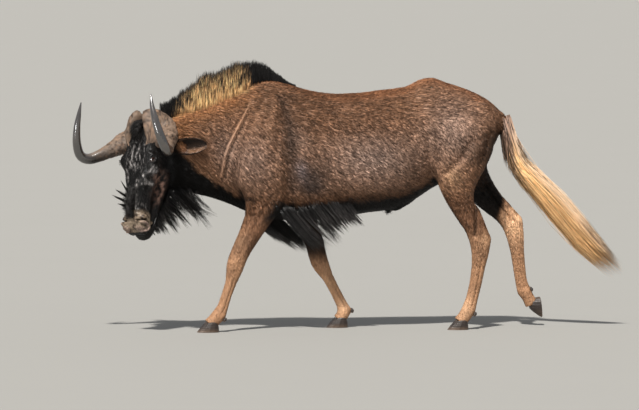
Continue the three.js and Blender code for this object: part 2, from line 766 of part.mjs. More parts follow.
// Hair. A lock is flat and tapered, bends along its length and ends in a point.

function lock({ root, lie, bend, across, length, width, thick }) {
  const rings = [];
  const steps = 3;
  const at = (t) =>
    root
      .clone()
      .addScaledVector(lie, length * t - LOCK_SUNK * (1 - t))
      .addScaledVector(bend, length * t * t);
  for (let k = 0; k < steps; k += 1) {
    const t = k / steps;
    const run = at(t + 0.05).sub(at(t)).normalize();
    const wide = across.clone().addScaledVector(run, -across.dot(run)).normalize();
    const flat = new THREE.Vector3().crossVectors(run, wide);
    const taper = 1 - 0.55 * t * t;
    const centre = at(t);
    rings.push([
      centre.clone().addScaledVector(wide, width * taper),
      centre.clone().addScaledVector(flat, thick * taper),
      centre.clone().addScaledVector(wide, -width * taper),
      centre.clone().addScaledVector(flat, -thick * taper),
    ]);
  }
  return solid(loft(rings, at(1)));
}

// A strip of hair: close hair along the middle line, and rows of loose locks that reach to the tips.
// strand(u, out) gives a strand's root, lie, bend, across and reach, at u along and out from the middle.
function strip({ seed, rows, count, width, thick, foot, edge }, strand) {
  const draw = seededDraw(seed);
  const rings = [];
  for (let i = 0; i <= CORE_RINGS; i += 1) {
    const { root, lie, across, reach } = strand(i / CORE_RINGS, 0);
    const side = new THREE.Vector3().crossVectors(lie, across).normalize();
    const at = (height, half) => root.clone().addScaledVector(lie, height).addScaledVector(side, half);
    const top = reach * CORE_SHARE;
    const waist = top * 0.3;
    rings.push([
      at(-CORE_SUNK, -foot),
      at(-CORE_SUNK, foot),
      at(waist, foot),
      at(top, edge),
      at(top, -edge),
      at(waist, -foot),
    ]);
  }
  const pieces = [solid(loft(rings))];
  for (const out of rows) {
    for (let i = 0; i <= count; i += 1) {
      const u = THREE.MathUtils.clamp((i + draw(-0.22, 0.22)) / count, 0.01, 0.99);
      const { root, lie, bend, across, reach } = strand(u, out);
      const side = new THREE.Vector3().crossVectors(lie, across).normalize();
      pieces.push(
        lock({
          root,
          lie: lie.clone()
            .addScaledVector(across, draw(-0.07, 0.07))
            .addScaledVector(side, draw(-0.05, 0.05)),
          bend: bend.clone().addScaledVector(across, draw(-0.07, 0.07)),
          across: across.clone().addScaledVector(side, draw(-0.35, 0.35)).normalize(),
          length: reach * draw(0.9, 1.03),
          width,
          thick,
        }),
      );
    }
  }
  return join(pieces);
}

function maneForm() {
  return strip(PLANTING.mane, (u, out) => {
    const x = THREE.MathUtils.lerp(MANE[0].x, MANE.at(-1).x, u);
    const root = new THREE.Vector3(x, out * 0.72, stationAt(TRUNK, "x", x).top - 6 - Math.abs(out) * 0.6);
    const tip = stationAt(MANE, "x", x).tip;
    return {
      root,
      lie: new THREE.Vector3(0.04, out * -0.004, 1).normalize(),
      bend: new THREE.Vector3(0.03, 0, 0),
      across: new THREE.Vector3(1, 0, 0),
      reach: Math.max((tip - root.z) * (1 - 0.004 * Math.abs(out)), 24),
    };
  });
}

function ruffForm() {
  return strip(PLANTING.ruff, (u, out) => {
    const x = THREE.MathUtils.lerp(RUFF[0].x, RUFF.at(-1).x - 62, u);
    const sweep = THREE.MathUtils.lerp(0.62, 0.5, u);
    const { bottom } = stationAt(TRUNK, "x", x);
    const lie = new THREE.Vector3(sweep * 0.8, out * 0.002, -1).normalize();
    const bend = new THREE.Vector3(sweep * 0.5, 0, 0.02);
    let reach = 24;
    const above = () => {
      const { tip } = stationAt(RUFF, "x", x + (lie.x + bend.x) * reach);
      return bottom + (lie.z + bend.z) * reach - tip;
    };
    while (reach < 260 && above() > 0) {
      reach += 4;
    }
    const root = new THREE.Vector3(x, out, bottom + 2 + Math.abs(out) * 0.2);
    return { root, lie, bend, across: new THREE.Vector3(1, 0, 0.2).normalize(), reach };
  });
}

function beardForm() {
  return strip(PLANTING.beard, (u, out) => {
    const { s, d, n, reach, back } = stationAt(BEARD, "t", u * BEARD.at(-1).t);
    return {
      root: headPlace({ s: s + out, d: d + Math.abs(out) * 0.4, n }),
      lie: new THREE.Vector3(back, 0.1, -0.85).addScaledVector(LEFT, out * 0.005).normalize(),
      bend: new THREE.Vector3(0.05, 0, 0),
      across: new THREE.Vector3(0.8, 0.5, 0.3).normalize(),
      reach,
    };
  });
}

function brushForm() {
  const { top, foot, skin, reach } = BRUSH;
  return strip(PLANTING.brush, (u, out) => ({
    root: headPlace({ s: out, d: skin, n: THREE.MathUtils.lerp(top, foot, u) }),
    lie: headLie({ s: out * 0.02, d: 1, n: -0.42 }).normalize(),
    bend: headLie({ s: out * 0.004, d: -0.05, n: -0.06 }),
    across: headLie({ s: 0, d: 0, n: 1 }),
    reach: reach * (1 - 0.3 * Math.abs(2 * u - 1)),
  }));
}

// A place in the tail's hair: t along its line, up across it and out to the side, as shares of its thickness.
function tailPlace(t, up, out) {
  const last = TAIL.length - 1;
  const at = stationAt(TAIL, "t", THREE.MathUtils.clamp(t, 0, last));
  const ahead = stationAt(TAIL, "t", THREE.MathUtils.clamp(t + 0.1, 0.1, last));
  const behind = stationAt(TAIL, "t", THREE.MathUtils.clamp(t - 0.1, 0, last - 0.1));
  const run = new THREE.Vector3(ahead.x - behind.x, 0, ahead.z - behind.z).normalize();
  const over = new THREE.Vector3(-run.z, 0, run.x);
  return new THREE.Vector3(at.x, at.thick * out, at.z).addScaledVector(over, at.spread * up);
}

// One long lock of the tail, from its start to its end along the tail's line.
function tailLock(start, end, around, share) {
  const { width, thick, rings: count } = TAIL_LOCKS;
  const [high, wide] = [share * Math.cos(around), share * Math.sin(around)];
  const rings = [];
  for (let k = 0; k < count; k += 1) {
    const u = k / count;
    const t = THREE.MathUtils.lerp(start, end, u);
    const spread = Math.min(1, u * 4 + 0.35);
    const [up, out] = [high * spread, wide * spread];
    const centre = tailPlace(t, up, out);
    const over = tailPlace(t, up + 0.1, out).sub(tailPlace(t, up - 0.1, out)).normalize();
    const across = new THREE.Vector3(0, Math.cos(around), 0)
      .addScaledVector(over, Math.sin(around))
      .normalize();
    const run = tailPlace(t + 0.1, up, out).sub(tailPlace(t - 0.1, up, out)).normalize();
    const flat = new THREE.Vector3().crossVectors(run, across).normalize();
    const taper = 1 - 0.6 * u * u;
    rings.push([
      centre.clone().addScaledVector(across, width * taper),
      centre.clone().addScaledVector(flat, thick * taper),
      centre.clone().addScaledVector(across, -width * taper),
      centre.clone().addScaledVector(flat, -thick * taper),
    ]);
  }
  return solid(loft(rings, tailPlace(end, high, wide)));
}

// The tail's hair is a bundle of long locks round a close middle.
function tailForm() {
  const draw = seededDraw(53);
  const last = TAIL.length - 1;
  const { share, end, sides } = TAIL_CORE;
  const core = [];
  for (let t = 0; t <= end; t += 0.5) {
    const ring = [];
    for (let k = 0; k < sides; k += 1) {
      const angle = (2 * Math.PI * k) / sides;
      const size = share * Math.min(1, 1 - 0.3 * (t - end + 2));
      ring.push(tailPlace(t, size * Math.cos(angle), size * Math.sin(angle)));
    }
    core.push(ring);
  }
  const pieces = [solid(loft(core))];
  for (let i = 0; i < TAIL_LOCKS.count; i += 1) {
    const spread = Math.sqrt((i + 0.5) / TAIL_LOCKS.count);
    const start = draw(0.1, 3.4) * (1.1 - spread * 0.5);
    const finish = THREE.MathUtils.lerp(last, last - 2.2, draw() ** 1.5);
    pieces.push(tailLock(start, finish, i * 2.39996, spread));
  }
  return join(pieces);
}

// Assembly

const COLOURS = {
  coat: "#54382a",
  neck: "#5e3d29",
  face: "#1d1816",
  leg: "#74492f",
  horn: "#7a6552",
  hoof: "#3a302a",
  eye: "#120d0a",
  mane: "#b08a5a",
  black: "#171415",
  tail: "#cdb083",
};

const animal = new THREE.Group();

function addNode(name, body, colour, roughness = 0.75) {
  const finish = { color: colour, roughness, metalness: 0, flatShading: true };
  const material = new THREE.MeshStandardMaterial(finish);
  const mesh = new THREE.Mesh(geometryOf(largest(body)), material);
  mesh.name = name;
  animal.add(mesh);
}

const trunkClear = trunkForm(TOUCH);
const headClear = headForm(TOUCH);
const FEET = {
  fore_left: { pose: FORE_LEFT, sizes: FORE_SIZES },
  fore_right: { pose: FORE_RIGHT, sizes: FORE_SIZES },
  hind_left: { pose: HIND_LEFT, sizes: HIND_SIZES },
  hind_right: { pose: HIND_RIGHT, sizes: HIND_SIZES },
};
const SIDES = [["left", 1], ["right", -1]];

// Trunk, parted at the base of the neck
const lean = NECK_CUT.top.clone().sub(NECK_CUT.bottom);
const parting = new THREE.BoxGeometry(TOUCH, 2 * WITHERS, 2 * WITHERS);
parting.rotateY(Math.atan2(lean.x, lean.z));
parting.translate(...NECK_CUT.top.clone().add(NECK_CUT.bottom).divideScalar(2).toArray());
const halves = trunkForm().subtract(solid(parting)).decompose();
halves.sort((a, b) => a.boundingBox().min[0] - b.boundingBox().min[0]);
const sheath = ball(SHEATH.centre, SHEATH.radii, new THREE.Matrix4(), 10);
const dock = (grow = 0) => tube(DOCK, 10, 1, grow);
addNode("torso", halves[1].add(sheath), COLOURS.coat);
addNode("neck", halves[0].subtract(headClear), COLOURS.neck);
addNode("tail_dock", dock().subtract(trunkClear), COLOURS.coat);

// Legs and feet
const limbsClear = [];
for (const [name, { pose, sizes }] of Object.entries(FEET)) {
  const limbClear = limb(pose, sizes, TOUCH);
  limbsClear.push(limbClear);
  addNode(`leg_${name}`, limb(pose, sizes).subtract(trunkClear), COLOURS.leg);
  for (const side of [-1, 1]) {
    const where = side === Math.sign(pose.fetlock[2]) ? "outer" : "inner";
    addNode(`claw_${name}_${where}`, claw(HOOVES[name], side).subtract(limbClear), COLOURS.hoof, 0.5);
    addNode(`dewclaw_${name}_${where}`, dewclaw(pose, side).subtract(limbClear), COLOURS.hoof, 0.5);
  }
}

// Head
const horn = (side, grow = 0) => headTube(HORN, HORN_SIDES, 2, grow, side, { s: 0, d: 0, n: 1 }, true);
addNode("head", carvedHead(), COLOURS.face);
for (const [name, side] of SIDES) {
  addNode(`eye_${name}`, eyeball(side), COLOURS.eye, 0.1);
  addNode(`horn_${name}`, horn(side).subtract(headClear).subtract(trunkClear), COLOURS.horn, 0.5);
  addNode(`ear_${name}`, cut(ear(side), [headClear, trunkClear, horn(side, TOUCH)]), COLOURS.coat);
}

// Long hair
const hornsClear = SIDES.map(([, side]) => horn(side, TOUCH));
addNode("mane", cut(maneForm(), [trunkClear, headClear, ...hornsClear]), COLOURS.mane);
addNode("chest_ruff", cut(ruffForm(), [trunkClear, ...limbsClear]), COLOURS.black);
addNode("beard", cut(beardForm(), [headClear, trunkClear]), COLOURS.black);
addNode("nose_brush", brushForm().subtract(headClear), COLOURS.black);
addNode("tail_switch", cut(tailForm(), [trunkClear, dock(TOUCH)]), COLOURS.tail);

// The origin is at the middle of the whole figure's box, on the floor.
const box = new THREE.Box3().setFromObject(animal);
animal.position.set(-(box.min.x + box.max.x) / 2, -(box.min.y + box.max.y) / 2, -box.min.z);

export default animal;
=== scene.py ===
# %% [markdown]
# # A black wildebeest bull, as a museum shows it
#
# The figure stands still in mid-stride with its head low and turned to its left. This lesson dresses a
# plain model made of closed solids: one skin is drawn over all the flesh, the forms under it are pushed
# up and down as a sculptor would, and then the coat, the long hair, the horns, the hooves and the eyes
# are added. Everything is in metres, in the same frame as the solids.

# %% Load the frame
import math

import bmesh
import bpy
import numpy as np
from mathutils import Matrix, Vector
from mathutils.bvhtree import BVHTree


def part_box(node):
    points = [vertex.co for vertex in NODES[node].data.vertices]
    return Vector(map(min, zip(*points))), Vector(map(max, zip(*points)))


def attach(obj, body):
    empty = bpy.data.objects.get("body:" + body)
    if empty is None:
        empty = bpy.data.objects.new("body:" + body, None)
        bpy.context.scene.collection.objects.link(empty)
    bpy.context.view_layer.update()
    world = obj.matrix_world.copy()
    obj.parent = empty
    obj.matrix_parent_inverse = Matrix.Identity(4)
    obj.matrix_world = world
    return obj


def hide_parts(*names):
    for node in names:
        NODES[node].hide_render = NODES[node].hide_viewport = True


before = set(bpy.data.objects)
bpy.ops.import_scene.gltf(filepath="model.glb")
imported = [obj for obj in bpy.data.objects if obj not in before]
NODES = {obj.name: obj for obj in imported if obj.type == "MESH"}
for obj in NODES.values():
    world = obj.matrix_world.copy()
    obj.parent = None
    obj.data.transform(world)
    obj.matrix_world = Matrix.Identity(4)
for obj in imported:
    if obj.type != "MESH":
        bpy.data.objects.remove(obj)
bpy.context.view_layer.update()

# %% [markdown]
# ## Places on the animal
#
# The sizes below are in millimetres, measured from a point on the floor under the middle of the body:
# x runs to the tail, y to the animal's right and z up. The head has axes of its own, because it is
# turned: s points to the animal's left, d straight out of the face and n down the face to the muzzle.
# The left eye is known in both systems, so its solid tells where that point is in the frame.

# %% Measures of place
MM = 0.001
HEAD_TURN = math.radians(45.8)
HEAD_TILT = math.radians(15.1)
HEAD_ROLL = math.radians(6.1)
CROWN = np.array([-851.0, -80.0, 979.0])
EYE = (76, -17, 188)
EYE_RADIUS = 21
EYE_LOOK = (0.88, 0.45, 0.1)
EYE_SLIT = (-0.1, 0.72, 0.66)
SIDES = {"left": 1, "right": -1}


def unit(vectors):
    return vectors / np.maximum(np.linalg.norm(vectors, axis=-1, keepdims=True), 1e-9)


def turned(vector, axis, angle):
    """The vector turned round a unit axis."""
    along = axis * (vector @ axis)
    return along + (vector - along) * math.cos(angle) + np.cross(axis, vector) * math.sin(angle)


UP = np.array([0.0, 0.0, 1.0])
facing = np.array([-math.cos(HEAD_TURN), -math.sin(HEAD_TURN), 0.0])
LEFT = turned(np.cross(UP, facing), facing, HEAD_ROLL)
DOWN_FACE = turned(-UP * math.cos(HEAD_TILT) + facing * math.sin(HEAD_TILT), facing, HEAD_ROLL)
OUT_OF_FACE = turned(facing * math.cos(HEAD_TILT) + UP * math.sin(HEAD_TILT), facing, HEAD_ROLL)
HEAD_AXES = np.array([LEFT, OUT_OF_FACE, DOWN_FACE])


def head_mm(s, d, n):
    """A place on the head, in millimetres of the body's system."""
    return CROWN + np.array([s, d, n], float) @ HEAD_AXES


def square_axes(first, second, sign):
    """Two of the head's directions made square to each other, and the one across both, for one side."""
    first = unit((np.array(first) * (sign, 1, 1)) @ HEAD_AXES)
    second = (np.array(second) * (sign, 1, 1)) @ HEAD_AXES
    second = unit(second - first * (second @ first))
    return first, second, np.cross(first, second)


low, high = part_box("eye_left")
HOME = (np.array(low) + np.array(high)) / 2 - head_mm(*EYE) * MM


def placed(points):
    """Millimetres of the body's system to metres of the frame."""
    return HOME + np.asarray(points, float) * MM


def body_mm(points):
    """Metres of the frame to millimetres of the body's system."""
    return (np.asarray(points, float) - HOME) / MM


def head_coords(body_points):
    """Body millimetres to the head's own s, d, n."""
    return (body_points - CROWN) @ HEAD_AXES.T


print("home:", HOME.round(4))

# %% [markdown]
# ## Camera and light
#
# A very long lens from the animal's left, a little ahead of square and slightly above its back, gives the
# flat perspective of a wildlife photograph. One distant lamp with slightly soft shadows stands for the
# sun, high up behind the camera's left shoulder, and a pale surround fills the shadows, so that the dark
# coat keeps its shape. A weak second lamp is placed like a mirror image, so that the upright part of the
# near horn throws a long glint at the camera. A small spot lamp close to the head gives the near eye its
# catchlight, and its narrow cone keeps it off the rest.

# %% Camera
CAMERA_RANGE = 21300
CAMERA_HEIGHT = 1600
CAMERA_YAW = math.radians(8)
CAMERA_PITCH = math.radians(2.74)
LENS = 257.8
SENSOR = 36
SIGHT_END = 2000


def linked(name, data):
    """A new object for the data, put into the scene."""
    obj = bpy.data.objects.new(name, data)
    bpy.context.scene.collection.objects.link(obj)
    return obj


camera = linked("camera", bpy.data.cameras.new("camera"))
camera.data.lens = LENS
camera.data.sensor_width = SENSOR
camera.data.clip_end = SIGHT_END
camera.location = placed(
    [-CAMERA_RANGE * math.sin(CAMERA_YAW), -CAMERA_RANGE * math.cos(CAMERA_YAW), CAMERA_HEIGHT]
)
camera.rotation_euler = (math.pi / 2 - CAMERA_PITCH, 0, -CAMERA_YAW)
bpy.context.scene.camera = camera
print("camera at", [round(c, 2) for c in camera.location])

# %% Light
SUN_STRENGTH = 5.9
SUN_SOFTNESS = math.radians(3)
SUN_TURN = (math.radians(31), math.radians(-14), 0)
SUN_COLOUR = (1.0, 0.965, 0.91)
SURROUND = 0.45
SURROUND_COLOUR = (0.86, 0.89, 0.93, 1)
GLINT_STRENGTH = 1.5
GLINT_SOFTNESS = math.radians(16)
GLINT_TURN = math.radians(22)
# The way the upright part of the near horn runs.
HORN_RISE = unit(np.array([-43, 77, -229]) @ HEAD_AXES)
EYE_LAMP_WATTS = 30
EYE_LAMP_RADIUS = 0.06
EYE_LAMP_RANGE = 0.6
EYE_LAMP_CONE = math.radians(17)
EYE_LAMP_ASIDE = 0.1


def lamp(name, kind, strength):
    made = linked(name, bpy.data.lights.new(name, kind))
    made.data.energy = strength
    return made


def aimed(way):
    """The rotation of a lamp that shines from the given direction."""
    return Vector(way.tolist()).to_track_quat("Z", "Y").to_euler()


sun = lamp("sun", "SUN", SUN_STRENGTH)
sun.data.angle = SUN_SOFTNESS
sun.data.color = SUN_COLOUR
sun.rotation_euler = SUN_TURN

to_camera = unit(np.array([-math.sin(CAMERA_YAW), -math.cos(CAMERA_YAW), math.sin(CAMERA_PITCH)]))
facing_camera = unit(to_camera - HORN_RISE * (to_camera @ HORN_RISE))
mirror = turned(facing_camera, HORN_RISE, -GLINT_TURN)
glint_way = 2 * (mirror @ to_camera) * mirror - to_camera
glint = lamp("glint", "SUN", GLINT_STRENGTH)
glint.data.angle = GLINT_SOFTNESS
glint.rotation_euler = aimed(glint_way)
print("glint from", glint_way.round(2))

to_right = np.array([math.cos(CAMERA_YAW), -math.sin(CAMERA_YAW), 0.0])
eye_way = unit(to_camera - EYE_LAMP_ASIDE * to_right + EYE_LAMP_ASIDE * UP)
eye_lamp = lamp("eye_lamp", "SPOT", EYE_LAMP_WATTS)
eye_lamp.data.spot_size = EYE_LAMP_CONE
eye_lamp.data.spot_blend = 1.0
eye_lamp.data.shadow_soft_size = EYE_LAMP_RADIUS
eye_lamp.location = placed(head_mm(*EYE)) + eye_way * EYE_LAMP_RANGE
eye_lamp.rotation_euler = aimed(eye_way)

world = bpy.data.worlds.new("surround")
world.use_nodes = True
background = world.node_tree.nodes["Background"]
background.inputs["Color"].default_value = SURROUND_COLOUR
background.inputs["Strength"].default_value = SURROUND
bpy.context.scene.world = world
bpy.context.scene.view_settings.view_transform = "Standard"

# %% [markdown]
# ## Meshes from arrays
#
# Hair needs hundreds of thousands of small shapes. Making them one by one would take minutes, so each
# form is worked out as whole arrays of numbers and handed over in one go.

# %% Mesh helpers


def new_object(name, points, faces):
    """A smooth mesh object from arrays: points in metres, faces with the same number of corners each."""
    mesh = bpy.data.meshes.new(name)
    faces = np.asarray(faces, np.int32)
    count, corners = faces.shape
    mesh.vertices.add(len(points))
    mesh.vertices.foreach_set("co", np.asarray(points, np.float32).ravel())
    mesh.loops.add(count * corners)
    mesh.loops.foreach_set("vertex_index", faces.ravel())
    mesh.polygons.add(count)
    mesh.polygons.foreach_set("loop_start", np.arange(count, dtype=np.int32) * corners)
    mesh.polygons.foreach_set("use_smooth", np.full(count, True))
    mesh.update(calc_edges=True)
    return linked(name, mesh)


def mesh_points(mesh, what="co"):
    values = np.empty(len(mesh.vertices) * 3, np.float32)
    mesh.vertices.foreach_get(what, values)
    return values.reshape(-1, 3).astype(float)


def mesh_normals(mesh):
    return mesh_points(mesh, "normal")


def mesh_triangles(mesh):
    mesh.calc_loop_triangles()
    corners = np.empty(len(mesh.loop_triangles) * 3, np.int32)
    mesh.loop_triangles.foreach_get("vertices", corners)
    return corners.reshape(-1, 3)


def set_points(mesh, points):
    mesh.vertices.foreach_set("co", np.asarray(points, np.float32).ravel())
    mesh.update()


def point_values(mesh, name, values):
    """Gives every vertex a number, or a place, under a name that materials can read."""
    kind, field = ("FLOAT", "value") if values.ndim == 1 else ("FLOAT_VECTOR", "vector")
    layer = mesh.attributes.new(name, kind, "POINT")
    layer.data.foreach_set(field, values.astype(np.float32).ravel())


def ring_faces(rings, sides):
    """Squares from each ring of points to the next, and in a last row from the last ring to the first."""
    grid = np.arange(rings * sides).reshape(rings, sides)
    beside = np.roll(grid, -1, axis=1)
    return np.stack([grid, beside, np.roll(beside, -1, axis=0), np.roll(grid, -1, axis=0)], axis=-1)


def closed_tube(name, points):
    """A tube through rings of points, in body millimetres, with both ends closed."""
    rings, sides, _ = points.shape
    faces = ring_faces(rings, sides)[:-1].reshape(-1, 4)
    obj = new_object(name, placed(points.reshape(-1, 3)), faces)
    shape = bmesh.new()
    shape.from_mesh(obj.data)
    bmesh.ops.holes_fill(shape, edges=shape.edges, sides=0)
    bmesh.ops.recalc_face_normals(shape, faces=shape.faces)
    shape.to_mesh(obj.data)
    shape.free()
    return obj


# %% Smooth steps and patches


def ease(low, high, value):
    """0 below low, 1 above high, smooth between. low may be the larger one."""
    t = np.clip((value - low) / (high - low), 0, 1)
    return t * t * (3 - 2 * t)


def mottle(points, size, seed):
    """Smooth random values from -1 to 1 over points, in patches of about the given size."""
    cell = np.floor(points / size).astype(np.int64)
    part = points / size - cell
    part = part * part * (3 - 2 * part)
    total = np.zeros(len(points))
    for corner in np.ndindex(2, 2, 2):
        key = cell + corner
        scattered = seed * 2654435761
        for axis, prime in enumerate((73856093, 19349663, 83492791)):
            scattered = scattered ^ (key[:, axis] * prime)
        scattered = (scattered ^ (scattered >> 13)) * 1274126177
        value = ((scattered >> 8) & 65535) / 32767.5 - 1
        weight = np.ones(len(points))
        for axis in range(3):
            weight = weight * (part[:, axis] if corner[axis] else 1 - part[:, axis])
        total += weight * value
    return total


def columns(*values):
    """Rows of numbers made from columns. A single number fills its whole column."""
    return np.stack(np.broadcast_arrays(*values), axis=-1)


def line_at(value, line):
    """The height of a line, given by its corners, over each value."""
    return np.interp(value, *np.array(line).T)


# %% [markdown]
# ## One skin
#
# The solids of the flesh meet with hair-thin gaps. A sculptor would model over the joints. Here each solid
# is swollen a little so that they run into one another, and a voxel remesh draws one closed surface round
# the lot. The solids have flat facets, so the surface is then relaxed: strongly on the big trunk, gently
# on the thin legs, and least on the head. A second pass gives back what the first one shrank.

# %% Draw the skin
LEGS = ["fore_left", "fore_right", "hind_left", "hind_right"]
FLESH = ["torso", "neck", "tail_dock", "head"] + ["leg_" + leg for leg in LEGS]
SWELL = 0.0025
VOXEL = 0.006
MOST_NEIGHBOURS = 6
SKIN_ROUNDS = 70


def welded(name):
    """A solid's points and triangles with equal points joined, and each point's outward normal."""
    mesh = NODES[name].data
    points = mesh_points(mesh)
    keys, index = np.unique((points * 1e5).round().astype(np.int64), axis=0, return_inverse=True)
    triangles = index.reshape(-1)[mesh_triangles(mesh)]
    merged = keys / 1e5
    a, b, c = (merged[triangles[:, k]] for k in range(3))
    face = np.cross(b - a, c - a)
    normals = np.zeros_like(merged)
    for k in range(3):
        np.add.at(normals, triangles[:, k], face)
    return merged, triangles, unit(normals)


def swollen(names, grow):
    """Several solids in one, each pushed out by so many metres."""
    points, triangles, count = [], [], 0
    for name in names:
        own, faces, normals = welded(name)
        points.append(own + normals * grow)
        triangles.append(faces + count)
        count += len(own)
    return np.concatenate(points), np.concatenate(triangles)


def remeshed(name, points, triangles, voxel):
    """One closed surface of even squares round everything given."""
    rough = new_object(name + "_rough", points, triangles)
    modifier = rough.modifiers.new("remesh", "REMESH")
    modifier.mode = "VOXEL"
    modifier.voxel_size = voxel
    graph = bpy.context.evaluated_depsgraph_get()
    mesh = bpy.data.meshes.new_from_object(rough.evaluated_get(graph))
    bpy.data.objects.remove(rough)
    mesh.name = name
    return linked(name, mesh)


def neighbours(mesh):
    """For each vertex a row of its neighbours, filled up with the vertex itself."""
    edges = np.empty(len(mesh.edges) * 2, np.int32)
    mesh.edges.foreach_get("vertices", edges)
    edges = edges.reshape(-1, 2)
    ends = np.concatenate([edges, edges[:, ::-1]])
    ends = ends[np.argsort(ends[:, 0], kind="stable")]
    count = len(mesh.vertices)
    starts = np.searchsorted(ends[:, 0], np.arange(count))
    rank = np.arange(len(ends)) - starts[ends[:, 0]]
    keep = rank < MOST_NEIGHBOURS
    table = np.repeat(np.arange(count)[:, None], MOST_NEIGHBOURS, axis=1)
    table[ends[keep, 0], rank[keep]] = ends[keep, 1]
    return table


def relaxed(values, table, rounds, weight):
    """Each value drawn towards its neighbours' mean, again and again, as far as weight lets it."""
    values = values.astype(np.float32)
    weight = weight.astype(np.float32)[:, None]
    for _ in range(rounds):
        values += weight * (values[table].mean(axis=1) - values)
    return values


def evened(points, table, rounds, weight):
    """Relaxed points that keep their volume: what the first pass shrank is given back, smoothed."""
    calm = relaxed(points, table, rounds, weight)
    return calm + relaxed(points - calm, table, rounds, weight)


skin = remeshed("skin", *swollen(FLESH + ["eye_left", "eye_right"], SWELL), VOXEL)
skin_table = neighbours(skin.data)
first = mesh_points(skin.data)
place_mm = body_mm(first)
on_head = ease(-40, 60, head_coords(place_mm)[:, 2]) * ease(-690, -790, place_mm[:, 0])
on_head = np.maximum(on_head, ease(-780, -840, place_mm[:, 0]))
on_leg = ease(640, 520, place_mm[:, 2]) * (1 - on_head)
on_dock = ease(850, 880, place_mm[:, 0]) * ease(700, 760, place_mm[:, 2])
calm = 0.6 - 0.45 * on_leg - 0.52 * on_head - 0.45 * on_dock
set_points(skin.data, evened(first, skin_table, SKIN_ROUNDS, np.clip(calm, 0.04, 0.6)))
print("skin:", len(first), "points")

# %% [markdown]
# The face is what people look at first, so the squares are made finer there before any shape is pushed
# into them, and finer again round the eyes and over the muzzle. A few relaxing rounds take the corners
# off the new points.

# %% Finer squares on the head


def refine(obj, wanted, rounds):
    """Cuts every square whose corners all pass the test into four, and relaxes the new points."""
    shape = bmesh.new()
    shape.from_mesh(obj.data)
    points = np.array([v.co for v in shape.verts])
    inside = wanted(body_mm(points))
    shape.verts.ensure_lookup_table()
    edges = [e for e in shape.edges if inside[e.verts[0].index] and inside[e.verts[1].index]]
    bmesh.ops.subdivide_edges(shape, edges=edges, cuts=1, use_grid_fill=True)
    shape.to_mesh(obj.data)
    shape.free()
    obj.data.update()
    moved = mesh_points(obj.data)
    weight = 0.5 * wanted(body_mm(moved)).astype(float)
    set_points(obj.data, evened(moved, neighbours(obj.data), rounds, weight))


def near_head(points):
    return (points[:, 0] < -745) & (points[:, 2] > 380)


def near_features(points):
    """Round the eyes, and over the muzzle and lips."""
    s, d, n = head_coords(points).T
    at_eye = (np.abs(s) > 52) & (np.abs(n - EYE[2]) < 42) & (d > -70)
    at_muzzle = (n > 425) & (d > -150)
    return (at_eye | at_muzzle) & (points[:, 0] < -745)


refine(skin, near_head, 3)
refine(skin, near_features, 2)
print("skin refined:", len(skin.data.vertices), "points")

# %% [markdown]
# ## Muscle, bone and folds
#
# A coat this short shows what is under it: the long fold of loose skin that runs from the withers down
# the side of the neck, the hollow behind the shoulder, the hip bone, the grooves of the thigh, the cords
# above the hocks, and on the head the brow, the crest of the cheek, the nostrils and the lips. Each is a
# soft hump, or a ridge or groove along a line, and all of them together say how far a point moves.

# %% Humps and grooves


def line_distance(points, path):
    """How far each point is from a line through the path's places, in as many axes as they have."""
    best = np.full(len(points), 1e9)
    path = np.asarray(path, float)
    for a, b in zip(path[:-1], path[1:]):
        run = b - a
        t = np.clip(((points - a) @ run) / (run @ run), 0, 1)
        best = np.minimum(best, np.linalg.norm(points - a - t[:, None] * run, axis=1))
    return best


def bell(value, centre, width):
    return np.exp(-(((value - centre) / width) ** 2))


def hump(points, centre, radii, height):
    return height * np.exp(-(((points - np.asarray(centre)) / np.asarray(radii)) ** 2).sum(axis=1))


def ridge(points, path, width, height):
    """A rounded ridge along a line, or a groove where the height is below 0."""
    return height * np.exp(-((line_distance(points, path) / width) ** 2))


def along_line(places, line):
    """Where beside a leg's line each place lies, counted in stations, and how far to its rear."""
    line = np.asarray(line, float)
    nearest = np.full(len(places), 1e9)
    at, back = np.zeros(len(places)), np.zeros(len(places))
    for k, (a, b) in enumerate(zip(line[:-1], line[1:])):
        run = b - a
        t = np.clip(((places - a) @ run) / (run @ run), 0, 1)
        away = places - a - t[:, None] * run
        gap = np.linalg.norm(away, axis=1)
        closer = gap < nearest
        nearest = np.where(closer, gap, nearest)
        at = np.where(closer, k + t, at)
        back = np.where(closer, away @ np.array([-run[1], run[0]]) / np.linalg.norm(run), back)
    return at, back


# %% [markdown]
# ### Legs
#
# Below knee and hock there is hardly any muscle: the cannon bone with a tendon behind it, then the knob
# of the fetlock. Above, the muscles run in cords. Places are found beside a line down each leg.

# %% Forms of the legs
LEG_TOP = 640
FORE_END = 300
# The middle of each lower leg, x and z: forearm or thigh, above the joint, knee or hock, the top and the
# foot of the cannon bone, fetlock. Places along it are counted in these stations, from 0.
LEG_LINES = {
    "fore_left": [(-305, 524), (-377, 385), (-409, 306), (-429, 228), (-466, 118), (-483, 82)],
    "fore_right": [(-78, 530), (-8, 400), (17, 303), (56, 234), (116, 118), (134, 82)],
    "hind_left": [(643, 620), (717, 478), (743, 416), (733, 294), (702, 142), (687, 92)],
    "hind_right": [(785, 640), (895, 530), (934, 484), (957, 348), (976, 206), (989, 164)],
}
# Cords along the leg: height, how far behind the line and how wide.
CANNON_CORDS = [(1.6, -5, 8), (-3.2, 9, 4.5)]
UPPER_CORDS = {
    "fore": [(2.2, -20, 10), (-1.5, -2, 10), (1.4, 14, 10)],
    "hind": [(2.2, -24, 10), (-2.6, -6, 9)],
}
UPPER_END = {"fore": (1.6, 1.1), "hind": (1.3, 0.7)}
